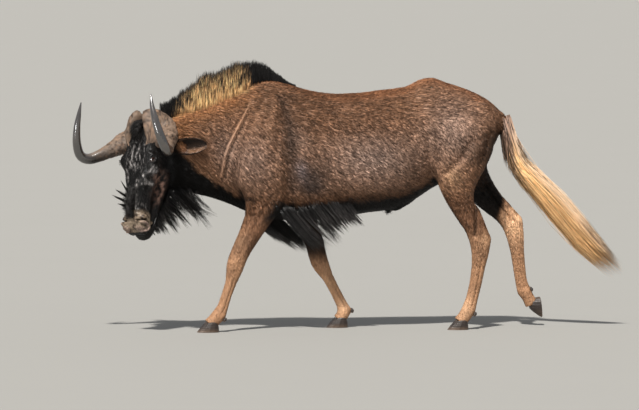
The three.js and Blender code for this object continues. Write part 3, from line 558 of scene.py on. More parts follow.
# Knobs and hollows: height, station, reach in stations, how far behind the line and how wide.
FETLOCK = [(3.0, 5, 0.22, 17, 12), (1.4, 4.85, 0.16, -8, 10), (-1.8, 4.55, 0.12, 12, 12)]
KNEE_OR_HOCK = {
    "fore": [(3.2, 1.92, 0.3, -16, 13), (-2.4, 2.05, 0.4, 14, 8), (-1.8, 2.5, 0.16, -10, 16)],
    "hind": [
        (2.6, 1.9, 0.3, -14, 14),
        (-3.6, 1.7, 0.5, 14, 9),
        (2.6, 2.1, 0.35, 30, 12),
        (-1.8, 2.45, 0.14, -4, 18),
    ],
}


def cords(back, rows):
    """The height of all the cords at places so far behind the line."""
    return sum(height * bell(back, behind, width) for height, behind, width in rows)


def leg_relief(points):
    """Tendons, knees, hocks and fetlocks, in millimetres."""
    total = np.zeros(len(points))
    for leg, line in LEG_LINES.items():
        end, side = leg.split("_")
        own = (points[:, 2] < LEG_TOP) & ((points[:, 1] < 0) == (side == "left"))
        own &= (points[:, 0] < FORE_END) == (end == "fore")
        at, back = along_line(points[own][:, [0, 2]], line)
        relief = ease(2.5, 2.9, at) * ease(4.8, 4.4, at) * cords(back, CANNON_CORDS)
        relief += ease(*UPPER_END[end], at) * cords(back, UPPER_CORDS[end])
        for height, station, reach, behind, width in FETLOCK + KNEE_OR_HOCK[end]:
            relief += height * bell(at, station, reach) * bell(back, behind, width)
        if end == "fore":
            relief -= 1.6 * bell(at, 2.0, 0.08)
        total[own] = relief
    return total


# %% [markdown]
# ### Trunk, neck and thighs
#
# These forms are given on the side view, so they can be laid over a picture, and they fade out towards
# the middle of the back and the belly.

# %% Forms of the trunk
NECK_FOLD = [(-336, 1060), (-362, 1006), (-404, 930), (-438, 863), (-458, 808), (-472, 716)]
SHOULDER_HOLLOW = [(-189, 1075), (-166, 959), (-156, 806), (-152, 660)]
BLADE_RIDGE = [(-215, 1060), (-262, 910), (-300, 800)]
THIGH_FRONT = [(478, 900), (486, 840), (500, 760), (534, 690)]
THIGH_GROOVE = [(690, 880), (640, 810), (577, 745)]
THIGH_REAR = [(790, 915), (760, 830), (735, 755)]
HAMSTRING = {
    -1: [(732, 640), (740, 560), (758, 480)],
    1: [(812, 686), (872, 614), (934, 540)],
}
HAMSTRING_GROOVE = {
    -1: [(724, 630), (719, 560), (716, 500), (711, 440)],
    1: [(800, 664), (850, 596), (898, 536), (922, 500)],
}
FOLD_WIDTH = [(700, 9), (840, 7), (1000, 5), (1060, 4)]
FOLD_HEIGHT = [(700, 6.5), (760, 7), (1000, 5), (1060, 1.5)]
RIB_SPACING = 46
RIB_HEIGHT = 1.1
# Humps and hollows on the side: x, z, how far they reach in x and z, and the height.
SIDE_HUMPS = {
    "upper arm": (-330, 750, 62, 60, 7),
    "above the elbow": (-205, 700, 62, 70, 8),
    "before the elbow": (-268, 640, 34, 50, -4),
    "hip bone": (512, 1010, 46, 34, 8),
    "hollow of the flank": (412, 960, 70, 78, -8),
    "rump": (620, 960, 90, 60, 3),
    "stifle": (600, 716, 34, 40, 5),
}
# Ridges and grooves on the side: the line, how far it is moved in x and z, the width and the height.
SIDE_RIDGES = [
    (NECK_FOLD, (-16, 0), 11, -1.4),
    (NECK_FOLD, (90, -20), 34, 3),
    (NECK_FOLD, (-46, -60), 26, 2.5),
    (SHOULDER_HOLLOW, (0, 0), 32, -7),
    (BLADE_RIDGE, (0, 0), 26, 5),
    (BLADE_RIDGE, (48, 0), 20, -3),
    (THIGH_FRONT, (0, 0), 20, -7),
    (THIGH_FRONT, (24, -6), 10, 4.5),
    (THIGH_GROOVE, (-34, 30), 30, 4),
    (THIGH_GROOVE, (0, 0), 18, -9),
    (THIGH_GROOVE, (44, -4), 22, 4),
    (THIGH_REAR, (0, 0), 15, -6),
]


def body_relief(points):
    """How far the skin of trunk, neck and legs stands out, in millimetres."""
    x, y, z = points.T
    side = points[:, [0, 2]]
    fold_height = line_at(z, FOLD_HEIGHT)
    relief = ridge(side, NECK_FOLD, line_at(z, FOLD_WIDTH), fold_height)
    relief -= ridge(side - (16, 0), NECK_FOLD, 8, 0.8 * fold_height)
    for line, move, width, height in SIDE_RIDGES:
        relief += ridge(side - move, line, width, height)
    for cx, cz, rx, rz, height in SIDE_HUMPS.values():
        relief += hump(side, (cx, cz), (rx, rz), height)
    ribs = ease(-90, -20, x) * ease(330, 250, x) * ease(590, 680, z) * ease(960, 860, z)
    relief += RIB_HEIGHT * ribs * np.cos((x + 0.3 * z) * 2 * math.pi / RIB_SPACING)
    total = relief * ease(25, 70, np.abs(y))
    for sign, path in HAMSTRING.items():
        cord = ridge(side, path, 9, 4) - ridge(side, HAMSTRING_GROOVE[sign], 8, 10)
        total += ease(0, 40, y * sign) * cord
    return total + leg_relief(points)


# %% [markdown]
# ### Head
#
# The head's forms have to sit exactly where the bones are, so each is a line or a spot in the head's own
# measures. The lines of nostril and lips are first moved onto the skin, as they are cut deep.

# %% Forms of the head
# The head's lines, in its own s, d, n, given for the left side and used for both.
BROW = [(60, 12, 140), (84, 6, 150), (99, -12, 166), (104, -34, 188)]
UNDER_EYE = [(58, 0, 214), (80, -14, 226), (96, -40, 222)]
CHEEK_CREST = [(88, -62, 246), (72, -66, 300), (60, -70, 356)]
NOSTRIL = [(30, 6, 474), (50, 0, 470), (63, -30, 467), (67, -58, 479), (63, -70, 500)]
NOSTRIL_WING = [(44, -30, 519), (58, -54, 511), (63, -57, 495), (62, -38, 483), (50, -12, 482)]
NOSTRIL_HOLLOW = [(50, -18, 489), (57, -36, 489)]
LIP_LINE = [(54, -124, 430), (60, -104, 464), (54, -84, 496), (34, -72, 515), (0, -66, 525)]
# More ridges and grooves of the head: the line, the width and the height.
HEAD_RIDGES = {
    "brow": (BROW, 11, 4.5),
    "under the eye": (UNDER_EYE, 8, 2.5),
    "crest of the cheek": (CHEEK_CREST, 13, 5),
    "before the cheek": ([(70, -30, 262), (56, -34, 340)], 16, -4),
    "hollow of the jaw": ([(62, -110, 300), (52, -96, 380)], 18, -3),
    "bridge of the nose": ([(0, 6, 200), (0, 8, 330)], 12, -1.5),
    "cleft of the lip": ([(0, -20, 512), (0, -60, 530)], 4, -3),
    "fold over the muzzle": ([(14, 8, 424), (46, -4, 424), (64, -34, 430)], 6, 2.4),
    "crease under it": ([(14, 8, 434), (46, -4, 434), (64, -34, 440)], 5, -2.4),
    "crease over the brow": ([(58, 4, 132), (82, -4, 138), (98, -22, 152)], 5, -2.4),
}
# Humps and hollows of the head: the place, how far it reaches and the height.
HEAD_HUMPS = {
    "tear pit": ((82, -8, 236), (12, 14, 14), -4),
    "edge of the nose": ((26, 8, 300), (20, 20, 90), 2),
    "lower lip": ((0, -104, 530), (30, 26, 20), 5),
    "over the nostril": ((42, -24, 508), (30, 30, 24), 8),
}


def on_surface(path, own, step=6.0):
    """The path cut into short steps, each moved to the nearest of the skin's points."""
    path = np.asarray(path, float)
    runs = np.linalg.norm(np.diff(path, axis=0), axis=1)
    at = np.concatenate([[0], np.cumsum(runs)])
    even = np.linspace(0, at[-1], max(3, int(at[-1] / step)))
    dense = np.column_stack([np.interp(even, at, path[:, k]) for k in range(3)])
    return np.array([own[np.argmin(((own - place) ** 2).sum(axis=1))] for place in dense])


def lid_relief(own):
    """The opening of the eye, its rim, and the folds over and under it."""
    look = unit(np.array(EYE_LOOK))
    slit = np.array(EYE_SLIT)
    slit = unit(slit - look * (slit @ look))
    over = np.cross(look, slit)
    away = own - np.array(EYE, float)
    depth = away @ look
    across = np.degrees(np.arctan2(away @ slit, np.maximum(depth, 1)))
    upward = np.degrees(np.arctan2(away @ over, np.maximum(depth, 1)))
    opening = (across / 44) ** 2 + (np.abs(upward) / 27) ** 2
    relief = 2.6 * ease(2.4, 1.4, opening) * ease(0.9, 1.15, opening) * (depth > 5)
    relief -= 4 * ease(1.0, 0.7, opening) * (depth > 5)
    folds = 3.4 * bell(upward, -47, 9) - 2.2 * bell(upward, -35, 4)
    folds += 1.6 * bell(upward, 45, 8) - 1.8 * bell(upward, 35, 4)
    return relief + folds * (depth > 0) * ease(66, 40, np.abs(across))


def head_relief(points):
    """How far the skin of the head stands out, in millimetres."""
    own = head_coords(points)
    own[:, 0] = np.abs(own[:, 0])
    _, d, n = own.T
    relief = lid_relief(own)
    for path, width, height in HEAD_RIDGES.values():
        relief += ridge(own, path, width, height)
    for place, reach, height in HEAD_HUMPS.values():
        relief += hump(own, place, reach, height)
    nostril, wing, hollow, lips = (
        on_surface(path, own) for path in (NOSTRIL, NOSTRIL_WING, NOSTRIL_HOLLOW, LIP_LINE)
    )
    relief += ridge(own, wing, 6.5, 6) - ridge(own, hollow, 4.5, 6)
    relief += ridge(own, nostril, 14, 3) - ridge(own, nostril, 5, 12)
    relief += ridge(own, lips, 12, 3) - ridge(own, lips, 4.2, 9)
    wrinkles = 0.7 * np.sin(n * 0.5 + d * 0.35) + 1.1 * mottle(own, 9, 25) + 0.5 * mottle(own, 4, 26)
    relief += ease(420, 450, n) * ease(12, -14, d) * ease(-76, -60, d) * wrinkles
    veins = 0.9 * mottle(own, 14, 27) + 0.5 * mottle(own, 6, 28)
    return relief + ease(440, 400, n) * ease(-160, -90, d) * veins


# %% [markdown]
# The skin lies under the coat, so it is also drawn in by the depth of the hair, which is greatest on the
# trunk and nothing to speak of on the muzzle.

# %% Push the skin
COAT_DEPTH = {"trunk": 5.0, "leg": 2.6, "head": 1.4, "muzzle": 0.6}
points = body_mm(mesh_points(skin.data))
normals = mesh_normals(skin.data)
from_head = head_coords(points)
near_skull = (np.abs(from_head[:, 0]) < 130) & (from_head[:, 1] > -250) & (from_head[:, 2] < 560)
head_share = ease(-60, 20, from_head[:, 2]) * near_skull * ease(-700, -760, points[:, 0])
depth = COAT_DEPTH["trunk"] + (COAT_DEPTH["leg"] - COAT_DEPTH["trunk"]) * ease(640, 480, points[:, 2])
depth = depth + (COAT_DEPTH["head"] - depth) * head_share
depth = depth + (COAT_DEPTH["muzzle"] - depth) * head_share * ease(410, 450, from_head[:, 2])
relief_of_head = head_relief(points) * head_share
relief = body_relief(points) * (1 - head_share) + relief_of_head
points += normals * (relief - depth - SWELL / MM)[:, None]
set_points(skin.data, placed(points))
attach(skin, "root")
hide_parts(*FLESH)
print("skin sculpted: relief from %.1f to %.1f mm" % (relief.min(), relief.max()))

# %% [markdown]
# ## The lie of the coat
#
# Hair grows backwards and down along the trunk, straight down the legs, and from the muzzle up and back
# over the face. The same directions steer the tufts, and stretch the fine streaks of the skin's bump.

# %% Direction of the hair
LIE_OF = {
    "trunk": (0.82, 0, -0.57),
    "back": (1, 0, -0.12),
    "crest": (0.95, 0, -0.3),
    "shoulder": (0.7, 0, -0.71),
    "thigh": (0.62, 0, -0.78),
    "neck": (0.76, 0, -0.65),
    "leg": (0.08, 0, -1),
}


def crest_height(x):
    """How high the root of the mane is."""
    return 1040 + 0.36 * (x + 600)


def lie_zones(points):
    """How much of each zone's direction counts at a place."""
    x, _, z = points.T
    zones = {"trunk": np.full(len(points), 0.3)}
    zones["back"] = 1.5 * ease(960, 1060, z) * ease(-200, -80, x)
    zones["crest"] = 2 * ease(150, 60, crest_height(x) - z) * ease(-200, -280, x)
    zones["shoulder"] = np.exp(-(((x + 250) / 95) ** 2)) * ease(980, 820, z)
    zones["thigh"] = np.exp(-(((x - 670) / 110) ** 2)) * ease(1040, 900, z)
    zones["neck"] = 1.5 * ease(-340, -420, x)
    zones["leg"] = 6 * ease(620, 520, z)
    return zones


def in_face(points, lowest, rearmost):
    """Whether each place is on the face: beside its middle, out from the throat and before the neck."""
    s, d, n = head_coords(points).T
    return (np.abs(s) < 125) & (d > lowest) & (n < 560) & (points[:, 0] < rearmost)


def lie_of_coat(points, normals):
    """The way the hair points, along the skin, at places in body millimetres."""
    flow = np.zeros_like(points)
    for zone, share in lie_zones(points).items():
        flow += share[:, None] * np.array(LIE_OF[zone])
    _, d, n = head_coords(points).T
    on_face = in_face(points, -215, -700) * ease(-40, 20, n)
    to_poll = -DOWN_FACE[None, :] * np.ones((len(points), 1)) - OUT_OF_FACE * ease(-40, -90, d)[:, None]
    flow = flow * (1 - on_face)[:, None] + 4 * to_poll * on_face[:, None]
    swirl = np.column_stack([mottle(points, 90, seed) for seed in (21, 22, 23)])
    flow = unit(flow) + 0.09 * swirl
    flow -= normals * (flow * normals).sum(axis=1)[:, None]
    return unit(flow)


# %% [markdown]
# The skin's bump needs streaks that follow the hair. A noise pattern is even in all directions, so the
# skin carries its places once more, squeezed along the lie of each zone: noise read there comes out
# stretched.

# %% Streak places on the skin
STREAK_SQUEEZE = 0.28
CLUMP_SQUEEZE = 0.16


def streak_places(points, squeeze=STREAK_SQUEEZE):
    """The places squeezed along each zone's main direction, in metres."""
    zones = lie_zones(points)
    zones["face"] = 8.0 * in_face(points, -215, -700) * ease(-40, 20, head_coords(points)[:, 2])
    chosen = np.argmax(np.array(list(zones.values())), axis=0)
    squeezed = points.copy()
    for number, zone in enumerate(zones):
        own = chosen == number
        along = DOWN_FACE if zone == "face" else unit(np.array(LIE_OF[zone]))
        squeezed[own] -= (1 - squeeze) * (points[own] @ along)[:, None] * along
    return squeezed * MM


# %% [markdown]
# ## Markings
#
# A black wildebeest is dark chocolate brown, not black: rusty on the neck below the mane, almost black on
# belly, chest and throat, and paler and redder on the lower legs. The face is black with a brown cheek.
# Light and shade are painted into the colour as well: a grey sheen on the flank, highlights on back, legs,
# face and muzzle, and shade in hollows, folds and under the body. Skin and coat ask the same function for
# their colour at a place, so they always agree.

# %% Colours of the coat


def paint(code):
    """A colour as it looks on a screen, to the even scale that light adds up in."""
    value = np.array([int(code[k : k + 2], 16) for k in (1, 3, 5)]) / 255
    return np.where(value <= 0.04045, value / 12.92, ((value + 0.055) / 1.055) ** 2.4)


BROWN = paint("#9d7356")
DEEP_BROWN = paint("#7b573f")
SHADE_DUSK = paint("#5d4b42")
GREY_BROWN = paint("#ae968a")
RUST = paint("#cc8f60")
LIT_BACK_RED = paint("#a8704c")
LEG_TAN = paint("#b08564")
PALE_TAN = paint("#dcb08a")
SOOT = paint("#0d0b0a")
BLACK = paint("#131110")
SHEEN_GREY = paint("#4e4a49")
SHADE_BLUE_GREY = paint("#9a9094")
FACE_SHEEN = paint("#c2bcb9")
CHEEK = paint("#94705e")
MUZZLE = paint("#80705f")
MUZZLE_DARK = paint("#33271f")
MUZZLE_HIGHLIGHT = paint("#c9aca0")
CREAM = paint("#ffd196")
STRAW = paint("#f6d8b6")
TAIL_BROWN = paint("#a98672")
HORN_TAN = paint("#6c5a4c")
HORN_PIT = paint("#2a1f18")
HORN_PALE = paint("#94755f")
HORN_GREY = paint("#6d6057")
HORN_DARK = paint("#2e2a28")


def mixed(base, tint, share):
    """Colours drawn towards a tint, each by its own share."""
    return base + (tint - base) * np.clip(share, 0, 1)[:, None]


# Painted shade, places darker than the coat round them: x, z, how far they reach in x and z, and by how much.
PAINTED_SHADE = {
    "rear of the thigh": (785, 835, 72, 120, 0.75),
    "groin": (395, 728, 80, 56, 0.32),
    "hamstring": (695, 828, 40, 44, 0.3),
    "thigh": (640, 866, 62, 62, 0.32),
    "upper shoulder": (-262, 1060, 100, 80, 0.16),
    "withers": (0, 1090, 210, 32, 0.16),
    "shoulder hollow": (-150, 890, 26, 130, 0.34),
    "point of the shoulder": (-440, 716, 40, 46, 0.26),
}
# Painted sheen, places greyer, and painted light, places lighter: x, z, reach in x and z, and by how much.
SHEEN_PATCHES = {
    "flank": (220, 800, 240, 130, 0.72),
    "rump": (600, 940, 140, 140, 0.6),
    "upper arm": (-340, 790, 110, 140, 0.5),
    "neck behind the fold": (-470, 850, 60, 90, 0.4),
    "behind the shoulder": (-130, 900, 60, 80, 0.4),
}
LIT_PATCHES = {"rump": (650, 960, 150, 90, 0.34), "flank": (220, 830, 300, 150, 0.14)}
# Pale patches of the legs by the side of the body, partly paler hair and partly painted highlight:
# x, z, reach in x and z, and by how much.
PALE_AND_HIGHLIGHT_PATCHES = {
    -1: [(668, 100, 30, 60, 1), (756, 420, 22, 34, 0.7), (-400, 425, 50, 60, 0.35)],
    1: [(120, 96, 28, 40, 1), (60, 230, 60, 90, 0.5)],
}
# Where the black of the belly starts, the black of the throat, and the rear outline of the thigh.
BELLY_LINE = [
    (-420, 640), (-250, 622), (-190, 600), (-110, 580), (-30, 606),
    (60, 614), (250, 604), (400, 636), (520, 700),
]
THROAT_LINE = [(-790, 960), (-720, 905), (-640, 800), (-560, 730), (-450, 655), (-380, 590)]
THIGH_OUTLINE = [(560, 700), (700, 772), (850, 800), (950, 830)]


def patches(points, rows):
    """How much of some soft patches of the side there is at each place."""
    x, _, z = points.T
    return sum(share * bell(x, cx, rx) * bell(z, cz, rz) for cx, cz, rx, rz, share in rows)


def darker(colour, share):
    return colour * (1 - share)[:, None]


# %% Browns of the body


def body_colour(points, normals):
    """Browns of trunk, neck and legs, before the black parts, with painted sheen, highlights and shade."""
    x, y, z = points.T
    side = points[:, [0, 2]]
    colour = mixed(BROWN, GREY_BROWN, patches(points, SHEEN_PATCHES.values()))
    high = ease(880, 960, z) * ease(-200, -120, x) * ease(400, 290, x)
    colour = mixed(colour, DEEP_BROWN, 0.5 * high)
    # Painted highlight: the back turns redder and lighter where the skin faces up to the light.
    colour = mixed(colour, LIT_BACK_RED, 0.7 * ease(0.55, 0.95, normals[:, 2]) * ease(900, 1000, z))
    below_crest = crest_height(x) - z
    rust = ease(-250, -420, x) * ease(120, 30, below_crest + 0.1 * np.abs(y))
    rust = np.maximum(rust, ease(-560, -700, x) * ease(820, 930, z))
    colour = mixed(colour, RUST, 0.8 * rust)
    ragged_crest = below_crest + 14 * mottle(points * (1, 1, 0.4), 14, 17)
    colour = mixed(colour, CREAM, 0.75 * ease(26, 0, ragged_crest) * ease(-300, -380, x))
    # Painted highlight along the crest of the neck fold, and painted shadow just beside it.
    colour = mixed(colour, LEG_TAN, 0.3 * bell(line_distance(side, NECK_FOLD), 0, 6) * (x < -300))
    shadow_beside_fold = bell(line_distance(side + (-15, 0), NECK_FOLD), 0, 7) * ease(1050, 1000, z)
    colour = darker(colour, 0.4 * shadow_beside_fold * (x < -300))
    behind = x - line_at(z, THIGH_OUTLINE)
    thigh = ease(-110, -30, behind) * ease(640, 720, z) * ease(1000, 930, z)
    colour = mixed(colour, DEEP_BROWN, 0.8 * thigh)
    # Painted shade behind the elbow, with a bluish grey patch in it, and down the hollow behind the shoulder.
    colour = mixed(colour, SHADE_DUSK, patches(points, [(-62, 690, 84, 110, 1.1)]))
    colour = mixed(colour, SHADE_DUSK, 0.6 * bell(line_distance(side, SHOULDER_HOLLOW), 0, 26))
    colour = mixed(colour, SHADE_BLUE_GREY, patches(points, [(-112, 755, 26, 48, 0.5)]))
    for row in PAINTED_SHADE.values():
        colour = darker(colour, patches(points, [row]))
    # Painted shade on the low flank, darker towards the belly line where the side turns under.
    low_flank_shade = ease(100, 0, z - line_at(x, BELLY_LINE)) * ease(-60, 60, x)
    low_flank_shade = low_flank_shade * ease(460, 380, x) * ease(520, 560, z)
    colour = darker(colour, 0.55 * low_flank_shade)
    return colour * (1 + patches(points, LIT_PATCHES.values()))[:, None]


def with_legs(colour, points, normals):
    """The legs, tan below, paler in patches, with painted highlights and shade, and black on the far
    foreleg's inner side.
    """
    x, y, z = points.T
    outward = normals[:, 1] * np.sign(y)
    colour = mixed(colour, DEEP_BROWN, ease(670, 600, z))
    # A painted highlight on the stifle, on the outer side only.
    stifle = patches(points, [(600, 714, 42, 46, 0.55)])
    colour = mixed(colour, PALE_TAN, stifle * (outward > 0))
    colour = mixed(colour, LEG_TAN, ease(0, 90, np.where(x < FORE_END, 405, 495) - z))
    # Painted shade in the groove in front of the hamstring.
    for sign, path in HAMSTRING_GROOVE.items():
        crease = bell(line_distance(points[:, [0, 2]], path), 0, 7)
        colour = darker(colour, 0.55 * crease * (y * sign > 0))
    # Paler hair, and painted highlights on hocks and knees.
    pale = sum(patches(points, rows) * (y * sign > 0) for sign, rows in PALE_AND_HIGHLIGHT_PATCHES.items())
    colour = mixed(colour, PALE_TAN, 0.8 * pale)
    colour = darker(colour, 0.14 * ease(480, 400, z) * (y < 0))
    # The far foreleg's inner side below the chest is black, partly dark hair and partly painted shadow of
    # chest and ruff.
    fore_inner_shadow = ease(290, 370, z + 10 * mottle(points, 16, 24)) * ease(640, 570, z) * (x < FORE_END)
    colour = mixed(colour, SOOT, 0.85 * fore_inner_shadow * ease(0.45, 0.05, outward) * (y > 0))
    # The far hock is painted much lighter, as a patch of light.
    return mixed(colour, PALE_TAN * 1.4, patches(points, [(940, 480, 62, 78, 1.2)]) * (y > 0))


def with_black_parts(colour, points, normals):
    """Belly, throat, the inner sides and the back of the thighs are black, with ragged borders: partly black
    hair, partly painted shade.
    """
    x, y, z = points.T
    outward = normals[:, 1] * np.sign(y)
    turned_in = outward + 0.32 * ease(540, 600, z) * (x > FORE_END)
    inner = ease(0.1, -0.4, turned_in) * ease(800, 620, z)
    # On the hind legs the black of the inner side ends at a slanting line, the edge of a painted cast shadow.
    shadow_border = np.where(y > 0, 838, 676) + 0.343 * (z - 473) + 5 * mottle(points, 16, 18)
    hind_inner = ease(9, -9, x - shadow_border) * ease(400, 440, z)
    inner *= np.where(x > FORE_END, hind_inner, ease(500, 560, z))
    colour = mixed(colour, SOOT, 0.95 * inner)
    ragged = 22 * mottle(points * (1, 1, 0.4), 24, 6) + 14 * mottle(points, 9, 7)
    belly = ease(14, -14, z - line_at(x, BELLY_LINE) - ragged) * ease(480, 540, z)
    belly *= ease(-420, -380, x) * ease(550, 505, x)
    # The belly is black hair where it faces down, and faces turned further down are painted black as shade
    # under the body.
    belly *= np.maximum(ease(-0.1, -0.3, normals[:, 2]), ease(-255, -225, x) * ease(350, 250, x))
    belly = np.maximum(belly, ease(-0.45, -0.6, normals[:, 2]) * ease(760, 700, z) * ease(450, 520, z))
    colour = mixed(colour, SOOT, belly)
    # The throat is partly black hair and partly painted shade under the head.
    throat = ease(12, -14, z - line_at(x, THROAT_LINE) - ragged) * ease(-372, -400, x)
    colour = mixed(colour, SOOT, throat * ease(450, 520, z))
    poll = ease(-690, -712, x) * ease(930, 960, z)
    colour = mixed(colour, SOOT, poll)
    behind = x - line_at(z, THIGH_OUTLINE) - ragged * 0.5
    thigh = ease(-26, 14, behind) * ease(540, 640, z) * ease(960, 900, z) * (x < 860)
    return mixed(colour, SOOT, 0.75 * thigh)


# %% Colours of the face


def face_share(points):
    return in_face(points, -235, -690).astype(float)


# Threads of painted highlight on the black face, where hair catches the light, s and n: over the forehead,
# down the far side, from the eye to the cheek, beside the bridge of the nose, and under the far eye.
HIGHLIGHT_THREADS = [
    [(-54, 168), (-30, 199), (-14, 223), (5, 238)],
    [(-16, 112), (-19, 150), (-20, 189), (-1, 216), (18, 228)],
    [(20, 118), (12, 150), (2, 176)],
    [(-54, 228), (-36, 256), (-31, 291)],
    [(86, 218), (70, 250), (50, 264), (54, 286), (64, 296), (48, 305)],
    [(23, 286), (18, 314), (16, 336), (21, 365), (20, 399), (28, 430)],
    [(38, 288), (26, 300), (20, 320)],
    [(-86, 224), (-68, 250), (-52, 270)],
]
# The painted highlight arc over the muzzle and the painted highlight behind the eye, s, d and n, on both
# sides.
MUZZLE_HIGHLIGHT_ARC = [(24, 6, 434), (46, 0, 427), (62, -24, 420), (66, -58, 417)]
TEMPLE_HIGHLIGHT = [(96, -60, 180), (95, -67, 201), (90, -92, 232), (84, -114, 266)]
# Where the bare skin of the muzzle ends, n and d: behind the nostril and along the mouth.
MUZZLE_EDGE = [
    (420, -52), (446, -84), (466, -104), (484, -92), (496, -80),
    (509, -66), (518, -50), (528, -12), (536, 20),
]


def with_face(colour, points):
    """The black face with its brown cheek, its painted highlights where the hair catches the light, and the
    bare muzzle.
    """
    s, d, n = head_coords(points).T
    near = face_share(points)
    face = near * ease(-40, 0, n) * ease(-245, -215, d)
    colour = mixed(colour, BLACK * 0.5, face)
    both = np.column_stack([np.abs(s), d, n])
    fine = mottle(points, 9, 12)
    cheek = bell(d, -112, 34) * bell(n, 300, 52) + 0.7 * bell(d, -84, 26) * bell(n, 268, 26)
    cheek = np.minimum(cheek, 1) * (np.abs(s) > 26)
    broken = ease(-0.6, 0.5, fine + 0.5 * mottle(points, 22, 20))
    colour = mixed(colour, CHEEK * (1.6, 1.7, 1.85), 0.95 * face * cheek * broken)
    wander = 5 * mottle(points, 15, 9) + 3 * mottle(points, 6, 10)
    flat = np.column_stack([s + wander, n + 3 * fine])
    gap = np.min([line_distance(flat, path) for path in HIGHLIGHT_THREADS], axis=0)
    thread = (ease(3.6, 1.4, gap) + 0.25 * ease(11, 3, gap)) * ease(-80, -50, d)
    wandering = both + (wander * 0.6)[:, None]
    thread = np.maximum(thread, ease(4.5, 1.5, line_distance(wandering, MUZZLE_HIGHLIGHT_ARC)))
    thread = np.maximum(thread, 0.5 * ease(7, 3, line_distance(wandering, TEMPLE_HIGHLIGHT)))
    highlight_flecks = ease(0.25, 0.6, mottle(points * (1, 1, 0.5), 5, 14)) * ease(60, 110, n) * ease(-90, -40, d)
    highlight_flecks = highlight_flecks * (0.6 * ease(270, 200, n) + 0.35 * bell(n, 405, 30)) * ease(70, 40, np.abs(s))
    painted_sheen = np.maximum(thread * ease(-0.5, 0.4, mottle(points, 5.5, 15)), highlight_flecks) * ease(446, 432, n)
    colour = mixed(colour, FACE_SHEEN, 0.52 * face * painted_sheen)
    edge = line_at(n, MUZZLE_EDGE)
    muzzle = ease(418, 440, n + 0.3 * np.minimum(d + 50, 0)) * ease(-3, 5, d - edge - 4 * fine)
    blotches = ease(0.0, 0.8, 0.7 * fine + 0.9 * mottle(points, 26, 14) + 0.35 * ease(470, 440, n))
    bare = mixed(MUZZLE, MUZZLE_DARK, 0.9 * blotches)
    # Painted highlight along the rim of the nostril.
    bare = mixed(bare, MUZZLE_HIGHLIGHT, 0.55 * ease(10, 4, line_distance(both, NOSTRIL_WING)))
    colour = colour + (bare - colour) * (0.95 * face * muzzle)[:, None]
    # The back of the jaw towards the throat is black, partly hair and partly painted shade under the head.
    return mixed(colour, SOOT, near * ease(-150, -215, d))


def muzzle_share(points):
    """Where the skin is bare, over the nostrils and lips."""
    _, d, n = head_coords(points).T
    edge = line_at(n, MUZZLE_EDGE)
    return face_share(points) * ease(424, 444, n + 0.3 * np.minimum(d + 50, 0)) * ease(-30, -20, d - edge)


# %% Colours on the skin


def base_colour(points, normals):
    """The colour at places given in body millimetres, without the difference from hair to hair."""
    colour = with_legs(body_colour(points, normals), points, normals)
    colour = with_face(with_black_parts(colour, points, normals), points)
    legs = ease(600, 500, points[:, 2])
    return colour * (1 + 0.08 * mottle(points, 70, 3) + 0.16 * legs * mottle(points, 34, 16))[:, None]


def coat_colour(points, normals):
    """The coat's colour, with clumps of darker and lighter hair."""
    grain = streak_places(points, CLUMP_SQUEEZE) / MM
    lively = (1 - 0.6 * ease(560, 440, points[:, 2])) * (1 - 0.4 * face_share(points))
    shade = lively * (0.5 * mottle(grain, 4.5, 4) + 0.22 * mottle(grain, 9, 5))
    return base_colour(points, normals) * (1 + np.minimum(shade, 0.45))[:, None]


def colour_attribute(mesh, colours):
    """Gives every vertex its colour under the name that the materials read."""
    full = np.ones((len(colours), 4), np.float32)
    full[:, :3] = np.clip(colours, 0, 1)
    layer = mesh.color_attributes.new("Coat", "FLOAT_COLOR", "POINT")
    layer.data.foreach_set("color", full.ravel())


SKIN_POINTS = body_mm(mesh_points(skin.data))
SKIN_NORMALS = mesh_normals(skin.data)
# Painted shade in the head's hollows, and painted highlight on the raised skin of the muzzle.
hollows = ease(-3.5, -8, relief_of_head)
under_hair = 0.8 + 0.15 * ease(560, 480, SKIN_POINTS[:, 2])
skin_colour = base_colour(SKIN_POINTS, SKIN_NORMALS) * under_hair[:, None]
skin_colour = mixed(skin_colour, SOOT * 0.6, hollows)
raised = ease(3.5, 6, relief_of_head) * muzzle_share(SKIN_POINTS)
colour_attribute(skin.data, mixed(skin_colour, MUZZLE_HIGHLIGHT, 0.22 * raised))
gloss = 0.56 - 0.2 * face_share(SKIN_POINTS) - 0.08 * muzzle_share(SKIN_POINTS)
point_values(skin.data, "Gloss", gloss)
point_values(skin.data, "Streak", streak_places(SKIN_POINTS))
print("mean colour of the skin:", skin_colour.mean(axis=0).round(3))

# %% [markdown]
# ## Finishes
#
# Each effect is one node group, so that it can be used and changed in one place: a tint that makes a
# colour vary from patch to patch, streaks of short hair for colour and bump, and the growth lines and
# pits of horn. The shaders themselves, with their gloss and coat of polish, stay in each material.

# %% Node groups
MID_GREY = (0.5, 0.5, 0.5, 1)


def new_group(name, inputs, outputs):
    """A node group with inputs as named values, and outputs that are numbers unless called Color."""
    tree = bpy.data.node_groups.new(name, "ShaderNodeTree")
    for label, value in inputs.items():
        kind = "NodeSocketColor" if label == "Color" else "NodeSocketFloat"
        socket = tree.interface.new_socket(name=label, in_out="INPUT", socket_type=kind)
        socket.default_value = value
    for label in outputs:
        kind = "NodeSocketColor" if label == "Color" else "NodeSocketFloat"
        tree.interface.new_socket(name=label, in_out="OUTPUT", socket_type=kind)
    return tree, tree.nodes.new("NodeGroupInput"), tree.nodes.new("NodeGroupOutput")


def node(tree, kind, settings=None, values=None):
    """A node with its settings, and with values on the named or numbered inputs."""
    made = tree.nodes.new(kind)
    for key, value in (settings or {}).items():
        setattr(made, key, value)
    for key, value in (values or {}).items():
        made.inputs[key].default_value = value
    return made


